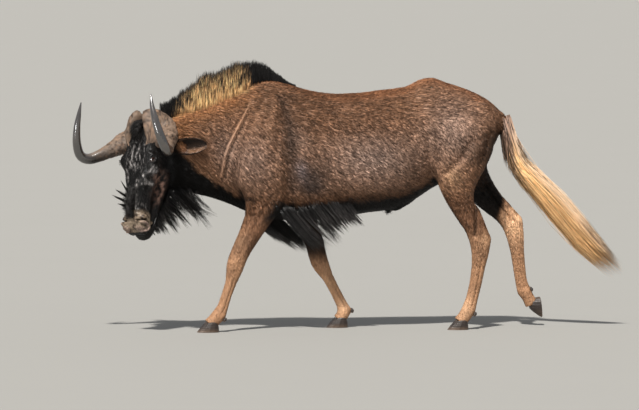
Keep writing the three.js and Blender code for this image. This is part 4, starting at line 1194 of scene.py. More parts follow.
def sum_node(tree, operation, second=None):
    """A node that calculates, with its second number where that is fixed."""
    return node(tree, "ShaderNodeMath", {"operation": operation}, {} if second is None else {1: second})


def wired(tree, *links):
    """Links, each given as a node and its output, and a node and its input."""
    for giver, output, taker, entry in links:
        tree.links.new(giver.outputs[output], taker.inputs[entry])


def varied(tree, source, result, giver, output, middle):
    """The group's colour, lighter where a value is over its middle and darker where it is under."""
    spread = sum_node(tree, "SUBTRACT", middle)
    scaled = sum_node(tree, "MULTIPLY")
    lifted = sum_node(tree, "ADD", 1.0)
    kept = sum_node(tree, "MAXIMUM", 0.1)
    shaded = node(tree, "ShaderNodeVectorMath", {"operation": "SCALE"})
    wired(tree, (giver, output, spread, 0), (spread, 0, scaled, 0), (source, "Amount", scaled, 1))
    wired(tree, (scaled, 0, lifted, 0), (lifted, 0, kept, 0), (kept, 0, shaded, "Scale"))
    wired(tree, (source, "Color", shaded, 0), (shaded, "Vector", result, "Color"))


def patchy_tint():
    """Colour in, colour out, lighter and darker in patches of a given size."""
    tree, source, result = new_group(
        "Patchy tint", {"Color": MID_GREY, "Scale": 60.0, "Amount": 0.25}, ["Color"]
    )
    place = node(tree, "ShaderNodeTexCoord")
    noise = node(tree, "ShaderNodeTexNoise", values={"Detail": 5.0, "Roughness": 0.65})
    wired(tree, (place, "Object", noise, "Vector"), (source, "Scale", noise, "Scale"))
    varied(tree, source, result, noise, "Fac", 0.5)
    return tree


def hair_streaks():
    """Colour and height of short hair: noise read at the squeezed places, in two sizes."""
    tree, source, result = new_group(
        "Hair streaks",
        {"Color": MID_GREY, "Fine": 700.0, "Coarse": 180.0, "Amount": 1.0},
        ["Color", "Height"],
    )
    place = node(tree, "ShaderNodeAttribute", {"attribute_name": "Streak"})
    fine = node(tree, "ShaderNodeTexNoise", values={"Detail": 3.0, "Roughness": 0.7})
    coarse = node(tree, "ShaderNodeTexNoise", values={"Detail": 2.0, "Roughness": 0.5})
    total = sum_node(tree, "ADD")
    for label, noise in (("Fine", fine), ("Coarse", coarse)):
        wired(tree, (place, "Vector", noise, "Vector"), (source, label, noise, "Scale"))
    wired(tree, (fine, "Fac", total, 0), (coarse, "Fac", total, 1), (total, 0, result, "Height"))
    varied(tree, source, result, total, 0, 1.0)
    return tree


def horn_grain():
    """A height for horn: pits, as strong as the rough share says, and faint growth lines."""
    tree, source, result = new_group(
        "Horn grain", {"Scale": 90.0, "Rough share": 1.0}, ["Height"]
    )
    place = node(tree, "ShaderNodeAttribute", {"attribute_name": "Grain"})
    pits = node(tree, "ShaderNodeTexNoise", values={"Detail": 6.0, "Roughness": 0.7})
    lines = node(tree, "ShaderNodeTexWave", {"wave_type": "BANDS"}, {"Distortion": 3.0, "Detail": 3.0})
    strength = sum_node(tree, "MULTIPLY")
    thin = sum_node(tree, "MULTIPLY", 0.35)
    total = sum_node(tree, "ADD")
    for target in (pits, lines):
        wired(tree, (place, "Vector", target, "Vector"), (source, "Scale", target, "Scale"))
    wired(tree, (pits, "Fac", strength, 0), (source, "Rough share", strength, 1), (lines, "Fac", thin, 0))
    wired(tree, (strength, 0, total, 0), (thin, 0, total, 1), (total, 0, result, "Height"))
    return tree


TINT = patchy_tint()
STREAKS = hair_streaks()
GRAIN = horn_grain()
print("node groups:", [group.name for group in (TINT, STREAKS, GRAIN)])

# %% Materials


def coat_material(name, roughness, effect, values, specular=0.5):
    """A finish that reads the Coat colours and lets a group vary them."""
    material = bpy.data.materials.new(name)
    material.use_nodes = True
    tree = material.node_tree
    shader = tree.nodes["Principled BSDF"]
    shader.inputs["Roughness"].default_value = roughness
    shader.inputs["Specular IOR Level"].default_value = specular
    colours = node(tree, "ShaderNodeAttribute", {"attribute_name": "Coat"})
    group = node(tree, "ShaderNodeGroup", {"node_tree": effect}, values)
    wired(tree, (colours, "Color", group, "Color"), (group, "Color", shader, "Base Color"))
    return material, tree, shader, group


def from_mesh(tree, shader, name, entry):
    """Lets the mesh say from place to place what one of the shader's inputs gets."""
    values = node(tree, "ShaderNodeAttribute", {"attribute_name": name})
    wired(tree, (values, "Fac", shader, entry))


def add_bump(tree, shader, group, strength, distance):
    bump = node(tree, "ShaderNodeBump", values={"Strength": strength, "Distance": distance})
    wired(tree, (group, "Height", bump, "Height"), (bump, "Normal", shader, "Normal"))


def skin_material():
    values = {"Fine": 620.0, "Coarse": 150.0, "Amount": 1.0}
    material, tree, shader, streaks = coat_material("short_coat_skin", 0.55, STREAKS, values, 0.25)
    from_mesh(tree, shader, "Gloss", "Roughness")
    add_bump(tree, shader, streaks, 0.3, 0.002)
    return material


def hair_material(name, roughness, amount, specular=0.5):
    return coat_material(name, roughness, TINT, {"Scale": 300.0, "Amount": amount}, specular)[0]


SKIN_FINISH = skin_material()
COAT_FINISH = hair_material("short_coat", 0.5, 0.3, 0.25)
FACE_FINISH = hair_material("face_coat", 0.34, 0.4, 0.35)
MANE_FINISH = hair_material("mane_hair", 0.5, 0.3, 0.3)
BLACK_FINISH = hair_material("black_hair", 0.38, 0.4, 0.5)
TAIL_FINISH = hair_material("tail_hair", 0.45, 0.25, 0.5)
skin.data.materials.clear()
skin.data.materials.append(SKIN_FINISH)

# %% [markdown]
# ## Tufts
#
# Each tuft is a thin closed solid of a few faces that tapers to a point. Short flat fur takes the
# simplest kind, a sliver with four faces laid along the skin. Long hair takes strands with more rings, so
# that they can bend. Every tuft keeps a small patch of its own on a flat map of the skin, so that its
# colours can be baked later.

# %% Scattering roots over the skin
SKIN_TRIANGLES = mesh_triangles(skin.data)
corner = SKIN_POINTS[SKIN_TRIANGLES]
AREAS = np.linalg.norm(np.cross(corner[:, 1] - corner[:, 0], corner[:, 2] - corner[:, 0]), axis=1) / 2
CENTRES = corner.mean(axis=1)
CENTRE_NORMALS = unit(SKIN_NORMALS[SKIN_TRIANGLES].mean(axis=1))
print("skin area: %.2f square metres" % (AREAS.sum() * 1e-6))


def scatter(count, weight, draw):
    """Root places and normals on the skin, denser where weight is high."""
    share = np.cumsum(AREAS * weight)
    chosen = np.searchsorted(share, draw.random(count) * share[-1])
    first, second = draw.random(count), draw.random(count)
    flip = first + second > 1
    first[flip], second[flip] = 1 - first[flip], 1 - second[flip]
    bary = np.column_stack([1 - first - second, first, second])
    tri = SKIN_TRIANGLES[chosen]
    roots = (SKIN_POINTS[tri] * bary[:, :, None]).sum(axis=1)
    normals = unit((SKIN_NORMALS[tri] * bary[:, :, None]).sum(axis=1))
    return roots, normals


# %% Flat map of the skin
PATCH = 0.003
# Where each island of the map lies across it: head, body, then the legs.
ISLANDS = [(0.0, 0.19), (0.2, 0.59), (0.6, 0.69), (0.7, 0.79), (0.8, 0.89), (0.9, 0.99)]


def unwrapped(roots):
    """A place on the flat map for each root: along the body, or down a leg or the face, and round it."""
    x, y, z = roots.T
    s, d, n = head_coords(roots).T
    leg = z < 560
    head = (np.abs(s) < 140) & (d > -240) & (n > -80) & (x < -690)
    fore = x < FORE_END
    axis_x = np.where(fore, np.where(y < 0, -400, 0), np.where(y < 0, 690, 900))
    round_leg = np.arctan2(y - np.where(y < 0, -108, 108), x - axis_x)
    round_body = np.arctan2(y, z - 800)
    round_head = np.arctan2(s, d + 80)
    around = np.where(head, round_head, np.where(leg, round_leg, round_body)) / (2 * math.pi) + 0.5
    along = np.where(head, (n + 80) / 640, np.where(leg, z / 560, (x + 760) / 1680))
    island = np.where(head, 0, np.where(leg, 2 + 2 * fore + (y < 0), 1)).astype(int)
    low, high = np.array(ISLANDS)[island].T
    return np.column_stack([low + (high - low) * np.clip(around, 0, 1), np.clip(along, 0, 0.99)])


def bake_map(mesh, roots, template_places, corners):
    """The OFBake map: each tuft's corners in a small patch at its root's place."""
    layer = mesh.uv_layers.new(name="OFBake")
    base = np.repeat(unwrapped(roots), len(corners), axis=0)
    own = np.tile(np.asarray(template_places)[corners] * PATCH, (len(roots), 1))
    layer.data.foreach_set("uv", (base + own).astype(np.float32).ravel())


# %% Strands and pieces


def volume_sign(points, faces):
    """Above 0 where the faces look outward."""
    a, b, c = (points[faces[:, k]] - points.mean(axis=0) for k in range(3))
    return np.sign((a * np.cross(b, c)).sum())


def strand_faces(body):
    """Triangles of a three-sided strand with so many rings and a tip."""
    faces = [(0, 2, 1)]
    for j in range(3):
        beside = (j + 1) % 3
        for k in range(0, 3 * body - 3, 3):
            faces += [(k + j, k + beside, k + beside + 3), (k + j, k + beside + 3, k + j + 3)]
        faces.append((3 * body - 3 + j, 3 * body - 3 + beside, 3 * body))
    return np.array(faces)


def strand_object(name, spine, wide, thick, across, colours, material):
    """Closed three-sided strands: spine is rings by strands by three, in body millimetres."""
    rings, count, _ = spine.shape
    run = np.gradient(spine, axis=0)
    side = across[None] - run * ((across[None] * run).sum(axis=2) / (run * run).sum(axis=2))[..., None]
    side = unit(side)
    top = unit(np.cross(run, side))
    body = rings - 1
    middle, side, top = spine[:body], side[:body], top[:body]
    w, t = wide[:body, :, None], thick[:body, :, None]
    ring = np.stack([middle - side * w, middle + side * w, middle + top * t])
    ring = ring.transpose(2, 1, 0, 3).reshape(count, body * 3, 3)
    points = np.concatenate([ring, spine[-1][:, None]], axis=1)
    template = strand_faces(body)
    if volume_sign(points[0], template) < 0:
        template = template[:, ::-1]
    all_faces = (template[None] + (np.arange(count) * (3 * body + 1))[:, None, None]).reshape(-1, 3)
    obj = new_object(name, placed(points.reshape(-1, 3)), all_faces)
    own = colours.transpose(1, 0, 2)
    own = np.concatenate([np.repeat(own[:, :body], 3, axis=1), own[:, -1:]], axis=1)
    colour_attribute(obj.data, own.reshape(-1, 3))
    flat = [(j * 0.5, k / body) for k in range(body) for j in (0, 2, 1)] + [(0.5, 1.0)]
    bake_map(obj.data, spine[0], flat, template.ravel())
    obj.data.materials.append(material)
    return obj


def finish_piece(obj, slot, *nodes):
    """Rides on the body and stands for the solids given; the slot is not used."""
    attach(obj, "root")
    if nodes:
        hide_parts(*nodes)
    print(obj.name, len(obj.data.polygons), "faces")


# %% [markdown]
# ## The short coat
#
# The coat is divided into pieces by region: trunk, neck, legs and head. Tufts are longest on the trunk
# and smallest on face and feet. Each one starts on the skin, and its tip follows the skin too, a few
# degrees above it, so the outline is soft but stays close and no tip is lost in a hollow.

# %% Roots on the skin
SKIN_TREE = BVHTree.FromPolygons(
    [tuple(p) for p in SKIN_POINTS], [tuple(t) for t in SKIN_TRIANGLES.tolist()], all_triangles=True
)


def nearest_on_skin(guesses):
    """The place on the skin closest to each guess, and its normal."""
    found = [SKIN_TREE.find_nearest(tuple(g)) for g in guesses]
    return np.array([f[0] for f in found]), unit(np.array([f[1] for f in found]))


def dropped_on_skin(starts, direction):
    """Where lines from the starts first meet the skin. Lines that miss are dropped."""
    hits = [SKIN_TREE.ray_cast(tuple(s), tuple(direction)) for s in starts]
    met = np.array([h[0] is not None for h in hits])
    return np.array([h[0] for h in hits if h[0] is not None]), met


# %% Short tufts


def short_coat(name, count, weight, length, width, lift, liveliness, seed, material, slot, root_shade=0.62):
    """A piece of coat from slivers laid along the hair's direction."""
    draw = np.random.default_rng(seed)
    roots, normals = scatter(count, weight, draw)
    lie = lie_of_coat(roots, normals)
    across = np.cross(normals, lie)
    lie = unit(lie + across * draw.normal(0, 0.06, count)[:, None])
    long = length(roots) * draw.uniform(0.7, 1.25, count)
    raised = np.radians(lift * draw.uniform(0.4, 1.5, count))
    ahead, ahead_normals = nearest_on_skin(roots + lie * (long * np.cos(raised))[:, None])
    tip = ahead + ahead_normals * (long * np.sin(raised))[:, None]
    spine = np.stack([roots - normals * 0.4, tip])
    wide = np.tile(width * draw.uniform(0.7, 1.3, count) / 2, (2, 1))
    base = coat_colour(roots, normals) * (1 + liveliness * draw.uniform(-1, 1, count))[:, None]
    # Each tuft is darker at its root, as painted shade under the coat, and lighter at its tip, as painted
    # sheen.
    tip_sheen = 0.95 + 0.3 * draw.random(count)[:, None]
    colours = np.stack([base * root_shade, base * tip_sheen])
    obj = strand_object(name, spine, wide, wide * 0.5, across, colours, material)
    finish_piece(obj, slot)
    return obj


# %% Pieces of the short coat
on_skull = in_face(CENTRES, -235, -700) & (head_coords(CENTRES)[:, 2] > -60)
in_head = on_skull.astype(float)
in_leg = (CENTRES[:, 2] < 560) * (1 - in_head)
in_neck = (CENTRES[:, 0] < -330) * (1 - in_head) * (1 - in_leg)
in_trunk = (1 - in_head) * (1 - in_leg) * (1 - in_neck)
near_side = (CENTRES[:, 1] < 0).astype(float)


def trunk_length(points):
    return 26 - 4 * ease(300, 700, points[:, 0])


def neck_length(points):
    on_fold = bell(line_distance(points[:, [0, 2]], NECK_FOLD), 0, 16)
    return (26 + 5 * ease(-560, -700, points[:, 0])) * (1 - 0.6 * on_fold)


def leg_length(points):
    return 9 + 9 * ease(150, 480, points[:, 2])


def face_length(points):
    return 11 - 5 * ease(400, 470, head_coords(points)[:, 2])


left_trunk = in_trunk * near_side
right_trunk = in_trunk * (1 - near_side)
short_coat("coat_trunk_left", 46000, left_trunk, trunk_length, 2.9, 8, 0.65, 101, COAT_FINISH, "coat")
short_coat("coat_trunk_right", 34000, right_trunk, trunk_length, 3.3, 8, 0.65, 102, COAT_FINISH, "coat")
short_coat("coat_neck", 31000, in_neck, neck_length, 2.8, 8, 0.65, 103, COAT_FINISH, "coat")
for number, leg in enumerate(LEGS):
    end = (CENTRES[:, 0] < FORE_END) == ("fore" in leg)
    side = near_side if "left" in leg else 1 - near_side
    seed = 110 + number
    own = in_leg * end * side
    short_coat("coat_leg_" + leg, 12000, own, leg_length, 1.9, 6, 0.22, seed, COAT_FINISH, "leg_coat", 0.85)
haired = in_head * (1 - 0.85 * muzzle_share(CENTRES))
short_coat("coat_head", 32000, haired, face_length, 1.7, 8, 0.5, 120, FACE_FINISH, "face_coat")

# %% [markdown]
# ## Long hair
#
# The solids give the outline of the long hair. Each strand bends along a curve, thins towards its tip and
# carries colours from root to tip, and the strands of a lock draw together towards their tips.

# %% Strands and outlines


def outline(name, axis, pick, step=12):
    """A solid's reach over its x: for each step the extreme of another axis, widened to its neighbours."""
    own = body_mm(mesh_points(NODES[name].data))
    places = np.arange(own[:, 0].min(), own[:, 0].max(), step)
    reach = []
    for place in places:
        near = own[np.abs(own[:, 0] - place) < 30]
        reach.append(pick(near[:, axis]) if len(near) else np.nan)
    reach = np.array(reach)
    good = ~np.isnan(reach)
    return places[good], np.convolve(np.pad(reach[good], 2, mode="edge"), np.ones(5) / 5, mode="valid")


def gathered(spine, locks, pull, draw):
    """Strands drawn to the leading strand of their lock, more and more towards the tip."""
    leaders = draw.choice(spine.shape[1], locks, replace=False)
    gaps = np.linalg.norm(spine[0][:, None] - spine[0][leaders][None], axis=2)
    own = leaders[np.argmin(gaps, axis=1)]
    shares = np.linspace(0, 1, len(spine))[:, None, None]
    return spine + (spine[:, own] - spine) * pull * shares**1.2


def dark_tint(count, draw, grey=0.08, rise=0.3):
    """Black strands, with a share of grey ones as painted sheen, and darker towards their roots as painted
    shade.
    """
    base = np.where(draw.random(count)[:, None] < grey, SHEEN_GREY, BLACK)
    base = base * draw.uniform(0.6, 1.6, count)[:, None]
    return lambda share: base * (0.25 + 0.75 * ease(0, rise, share) + 0.3 * share)


def hair(
    name, draw, roots, directions, bends, lengths, across=None, tint=None, *,
    width, rings, locks, pull, sunk=4.0, tipward=1.0, material=BLACK_FINISH,
):
    """Long strands from their roots, with a colour function of the share from root to tip.

    Rings crowd towards the tip where tipward is over 1. Without a tint the strands are black.
    """
    if across is None:
        across = draw.normal(0, 1, roots.shape)
    tint = tint or dark_tint(len(roots), draw)
    stations = 1 - (1 - np.linspace(0, 1, rings)) ** tipward
    shares = stations[:, None, None]
    spine = roots + directions * (lengths[:, None] * shares - sunk * (1 - shares))
    spine = spine + bends * lengths[:, None] * shares**2
    spine = gathered(spine, locks, pull, draw)
    taper = np.linspace(1, 0.35, rings)[:, None] * (width * draw.uniform(0.7, 1.3, len(roots)))[None] / 2
    colours = np.stack([tint(share) for share in stations])
    return strand_object(name, spine, taper, taper * 0.55, across, colours, material)


# %% [markdown]
# ### Mane
#
# The mane is stiff and upright, cream with black tips, and lies in a narrow strip from the poll to the
# withers. In front of the ears and behind the withers it is all black.

# %% Mane
MANE_COUNT = 7600
MANE_WIDTH = [(-724, 12), (-660, 26), (-520, 34), (-400, 32), (-330, 24), (-250, 14), (-122, 5)]
# How far the black reaches down from the tips, along the mane.
MANE_BLACK = [
    (-730, 140), (-700, 84), (-660, 48), (-600, 34),
    (-520, 34), (-400, 42), (-330, 56), (-296, 120),
]


def make_mane():
    draw = np.random.default_rng(201)
    places, tips = outline("mane", 2, np.max)
    x = draw.uniform(places[0] + 6, places[-1] - 4, MANE_COUNT)
    half = line_at(x, MANE_WIDTH)
    y = np.clip(draw.normal(0, 0.5, MANE_COUNT), -1, 1) * half
    starts = columns(x, y, 1500.0)
    roots, met = dropped_on_skin(starts, (0, 0, -1))
    x, y, half = x[met], y[met], half[met]
    count = len(x)
    tip = np.interp(x, places, tips)
    edge = np.abs(y) / half
    lengths = np.maximum(tip - roots[:, 2], 14) * draw.uniform(0.8, 1.03, count) * (1 - 0.5 * edge**1.6)
    lengths = lengths * (1 - 0.6 * ease(-200, -125, x))
    forward = draw.normal(0.02, 0.07, count) - 0.1 * ease(-660, -724, x)
    sideways = -y * 0.004 + draw.normal(0, 0.05, count)
    directions = unit(columns(forward, sideways, 1.0))
    bends = columns(draw.normal(0.03, 0.05, count), draw.normal(0, 0.04, count), 0.0)
    turn = draw.uniform(0, math.pi, count)
    across = columns(np.cos(turn), np.sin(turn), 0.0)
    dim = draw.random(count) < 0.14
    bright = np.where(dim, draw.uniform(0.15, 0.4, count), draw.uniform(0.9, 1.4, count))[:, None]
    black_from = line_at(x, MANE_BLACK) + 10 * mottle(roots, 30, 9) + draw.normal(0, 9, count)
    black_from = black_from + 24 * (draw.random(count) < 0.16)
    rusty = 0.08 + 0.25 * draw.random(count) + 0.4 * ease(-380, -290, x)
    ground = mixed(CREAM, RUST, rusty)

    def tint(share):
        from_tip = np.minimum(tip - roots[:, 2] - lengths * share, lengths * (1 - share) + 10)
        colour = ground * bright
        # Rust near the roots, partly the neck's own colour and partly painted shade among the strands.
        colour = mixed(colour, RUST * bright, 0.4 * ease(30, 4, lengths * share))
        return mixed(colour, BLACK, ease(black_from + 8, black_from - 6, from_tip))

    return hair(
        "mane_hair", draw, roots, directions, bends, lengths, across, tint,
        width=2.2, rings=5, locks=420, pull=0.45, tipward=1.5, material=MANE_FINISH,
    )


finish_piece(make_mane(), "mane_hair", "mane")

# %% [markdown]
# ### Ruff, beard and nose brush
#
# Black hair hangs from the chest between the forelegs and sweeps back, longest under the breast bone. The
# beard grows along the jaw and throat, and a brush of bristles stands out of the nose, parted down its
# middle. Short black hair also fills the gap between the horns, and a small tuft hangs from the sheath.

# %% Black hair
RUFF_COUNT = 5200
RUFF_LONGEST = 270


def make_ruff():
    """Hair under the breast bone, each strand as long as it takes to reach the solid's lower edge."""
    draw = np.random.default_rng(211)
    places, tips = outline("chest_ruff", 2, np.min)
    x, y, z = CENTRES.T
    top = line_at(x, BELLY_LINE) + 8 + 16 * mottle(CENTRES, 26, 213)
    under = (CENTRE_NORMALS[:, 2] < 0.3) & (z < top) & (z > 480) & (np.abs(y) < 134)
    under = under & (x > places[0]) & (x < places[-1] - 6) & (in_leg < 0.5)
    under = under * ease(0, 44, top - z) * (0.4 + 0.6 * ease(0.1, -0.5, CENTRE_NORMALS[:, 2]))
    under = under * (1 + 3 * bell(x, -208, 50))
    roots, _ = scatter(RUFF_COUNT, under, draw)
    count = len(roots)
    x, y = roots[:, 0], roots[:, 1]
    share = (x - places[0]) / (places[-1] - places[0])
    sweep = 0.64 - 0.12 * share + draw.normal(0, 0.06, count)
    outward = y * 0.0012 + draw.normal(0, 0.05, count)
    directions = unit(columns(sweep, outward, -1.0))
    bends = columns(sweep * 0.4, draw.normal(0, 0.05, count), 0.03)
    lengths = np.full(count, 60.0)
    for _ in range(12):
        ends = roots + (directions + bends) * lengths[:, None]
        lengths += 0.6 * (ends[:, 2] - np.interp(ends[:, 0], places, tips))
        lengths = np.clip(lengths, 16, RUFF_LONGEST)
    lengths *= draw.uniform(0.5, 1.08, count)
    across = columns(1.0, draw.normal(0, 0.7, count), 0.3)
    strands = dark_tint(count, draw, 0.34, 0.8)
    # Painted shade: the strands get darker towards the front of the ruff, between the forelegs.
    shaded = 0.3 + 0.7 * ease(-235, -110, x)[:, None]
    tint = lambda share: strands(share) * shaded
    return hair(
        "ruff_hair", draw, roots, directions, bends, lengths, across, tint,
        width=1.8, rings=6, locks=520, pull=0.72, sunk=10.0,
    )


finish_piece(make_ruff(), "black_hair", "chest_ruff")

# Roots of the beard along jaw and throat: s, d, n, the hair's reach and how far it sweeps back.
BEARD_LINE = np.array([
    (0, -124, 478, 44, 0.3),
    (0, -156, 425, 92, 0.34),
    (0, -184, 360, 148, 0.4),
    (5, -210, 300, 190, 0.5),
    (30, -250, 272, 204, 0.5),
    (64, -288, 276, 190, 0.32),
])


BEARD_COUNT = 2600
BEARD_HALF = 38


def make_beard():
    draw = np.random.default_rng(221)
    count = BEARD_COUNT
    at = draw.random(count) * (len(BEARD_LINE) - 1)
    line = np.column_stack([np.interp(at, np.arange(len(BEARD_LINE)), BEARD_LINE[:, k]) for k in range(5)])
    out = np.clip(draw.normal(0, 0.6, count), -1.3, 1.3) * BEARD_HALF
    aside = columns(out, np.abs(out) * 0.35 - 14, 0.0)
    guess = CROWN + (line[:, :3] + aside) @ HEAD_AXES
    guess = guess + draw.normal(0, 15, (count, 3)) * ease(2, 3.5, at)[:, None]
    roots, _ = nearest_on_skin(guess)
    directions = columns(line[:, 4] + 0.16, 0.1, -0.85)
    directions = unit(directions + LEFT * (out * 0.006)[:, None] + draw.normal(0, 0.07, (count, 3)))
    curls = [draw.normal(mean, spread, count) for mean, spread in ((0.06, 0.08), (0, 0.06), (0, 0.03))]
    bends = np.column_stack(curls)
    lengths = line[:, 3] * (0.35 + 0.8 * draw.random(count)) * (1 - 0.25 * np.abs(out) / BEARD_HALF)
    return hair(
        "beard_hair", draw, roots, directions, bends, lengths, width=1.9, rings=6, locks=180, pull=0.86
    )


finish_piece(make_beard(), "black_hair", "beard")


# %% Nose brush
BRUSH_COUNT = 1900
# Where the brush starts down the face, and its length and half breadth there.
BRUSH_TOP = 326
BRUSH_LENGTH = 134
BRUSH_HALF = 24


def make_brush():
    """Bristles on the bridge of the nose, fanning up and out."""
    draw = np.random.default_rng(231)
    count = BRUSH_COUNT
    n = BRUSH_TOP + BRUSH_LENGTH * draw.random(count) ** 0.9
    n = n + draw.normal(0, 7, count)
    s = np.clip(draw.normal(0, 0.55, count), -1.6, 1.6) * BRUSH_HALF
    guess = CROWN + columns(s, 16.0, n) @ HEAD_AXES
    roots, _ = nearest_on_skin(guess)
    upward = -0.3 - 0.45 * ease(430, 330, n) + draw.normal(0, 0.1, count)
    sideways = s * 0.022 + draw.normal(0, 0.1, count)
    directions = unit(columns(sideways, 1.0, upward) @ HEAD_AXES)
    bends = draw.normal(0, 0.015, (count, 3))
    lengths = draw.uniform(14, 40, count) * (1 - 0.3 * np.abs(n - 395) / 65)
    return hair(
        "nose_bristles", draw, roots, directions, bends, lengths, width=2.0, rings=5, locks=160, pull=0.3
    )


finish_piece(make_brush(), "black_hair", "nose_brush")
# Bundles of long bristles on the far edge of the bridge: root s, d, n, then the way to their tips.
SPIKES = [
    ((-30, 10, 408), (0, 62, -4)),
    ((-30, 12, 388), (0, 104, -14)),
    ((-30, 12, 362), (0, 86, -20)),
    ((-30, 10, 338), (0, 50, -46)),
]


SPIKE_BRISTLES = 60


def make_spikes():
    draw = np.random.default_rng(232)
    each = SPIKE_BRISTLES
    roots, reaches = [], []
    for root, way in SPIKES:
        guess = CROWN + (np.array(root) + draw.normal(0, 5, (each, 3))) @ HEAD_AXES
        roots.append(nearest_on_skin(guess)[0])
        tips = CROWN + (np.array(root) + np.array(way) * draw.uniform(0.7, 1.05, (each, 1))) @ HEAD_AXES
        reaches.append(tips + draw.normal(0, 1.2, (each, 3)) - roots[-1])
    roots, reaches = np.concatenate(roots), np.concatenate(reaches)
    lengths = np.linalg.norm(reaches, axis=1)
    bends = np.tile(DOWN_FACE * 0.03, (len(roots), 1))
    return hair(
        "nose_spikes", draw, roots, unit(reaches), bends, lengths,
        width=1.9, rings=5, locks=len(roots), pull=0,
    )


finish_piece(make_spikes(), "black_hair")


# %% Forelock and sheath
FORELOCK_COUNT = 1700
SHEATH_COUNT = 160


def make_forelock():
    """Short black hair that fills the gap between the bosses and hangs over the forehead."""
    draw = np.random.default_rng(235)
    count = FORELOCK_COUNT
    n = draw.uniform(-56, 100, count)
    s = np.clip(draw.normal(0, 0.6, count), -1, 1) * 26
    guess = CROWN + columns(s, 20.0, n) @ HEAD_AXES
    roots, _ = nearest_on_skin(guess)
    sideways = draw.normal(-0.1, 0.2, count)
    downward = 0.9 - 0.5 * ease(60, 0, n) + draw.normal(0, 0.2, count)
    directions = unit(columns(sideways, 1.0, downward) @ HEAD_AXES)
    bends = np.tile(DOWN_FACE * 0.3, (count, 1))
    lengths = draw.uniform(0.6, 1.05, count) * (26 + 38 * ease(80, 0, n))
    return hair("forelock", draw, roots, directions, bends, lengths, width=2.2, rings=5, locks=90, pull=0.5)


finish_piece(make_forelock(), "black_hair")


def make_sheath_hair():
    """A small tuft under the belly at the end of the sheath."""
    draw = np.random.default_rng(238)
    count = SHEATH_COUNT
    starts = columns(draw.normal(326, 9, count), draw.normal(0, 7, count), 300.0)
    roots, _ = dropped_on_skin(starts, (0, 0, 1))
    count = len(roots)
    spread = draw.normal(0, 0.2, (count, 3))
    directions = unit(spread + (-0.1, 0, -1))
    lengths = draw.uniform(12, 30, count)
    tint = dark_tint(count, draw)
    across = draw.normal(0, 1, (count, 3))
    return hair(
        "sheath_hair", draw, roots, directions, spread * 0.3, lengths, across, tint,
        width=1.8, rings=5, locks=9, pull=0.7,
    )


finish_piece(make_sheath_hair(), "black_hair")

# %% [markdown]
# ### Tail
#
# The dock is thin and brown, and from it falls a long straight switch, cream and almost white on top,
# which swings out behind the walking animal.

# %% Tail
# The tail's line from root to tip: x, z, half depth across the line, half width and the dock's radius.
TAIL_LINE = np.array([
    (868, 990, 34, 30, 31),
    (892, 920, 32, 28, 28),
    (920, 820, 34, 28, 24),
    (954, 745, 43, 32, 20),
    (1034, 667, 55, 38, 0),
    (1110, 588, 62, 42, 0),
    (1188, 496, 66, 42, 0),
    (1267, 400, 64, 38, 0),
    (1342, 330, 58, 30, 0),
    (1440, 240, 44, 18, 0),
])
TAIL_STRANDS = 2300
TAIL_RINGS = 7
TAIL_LOCKS = 110
TAIL_STREAKS = 16


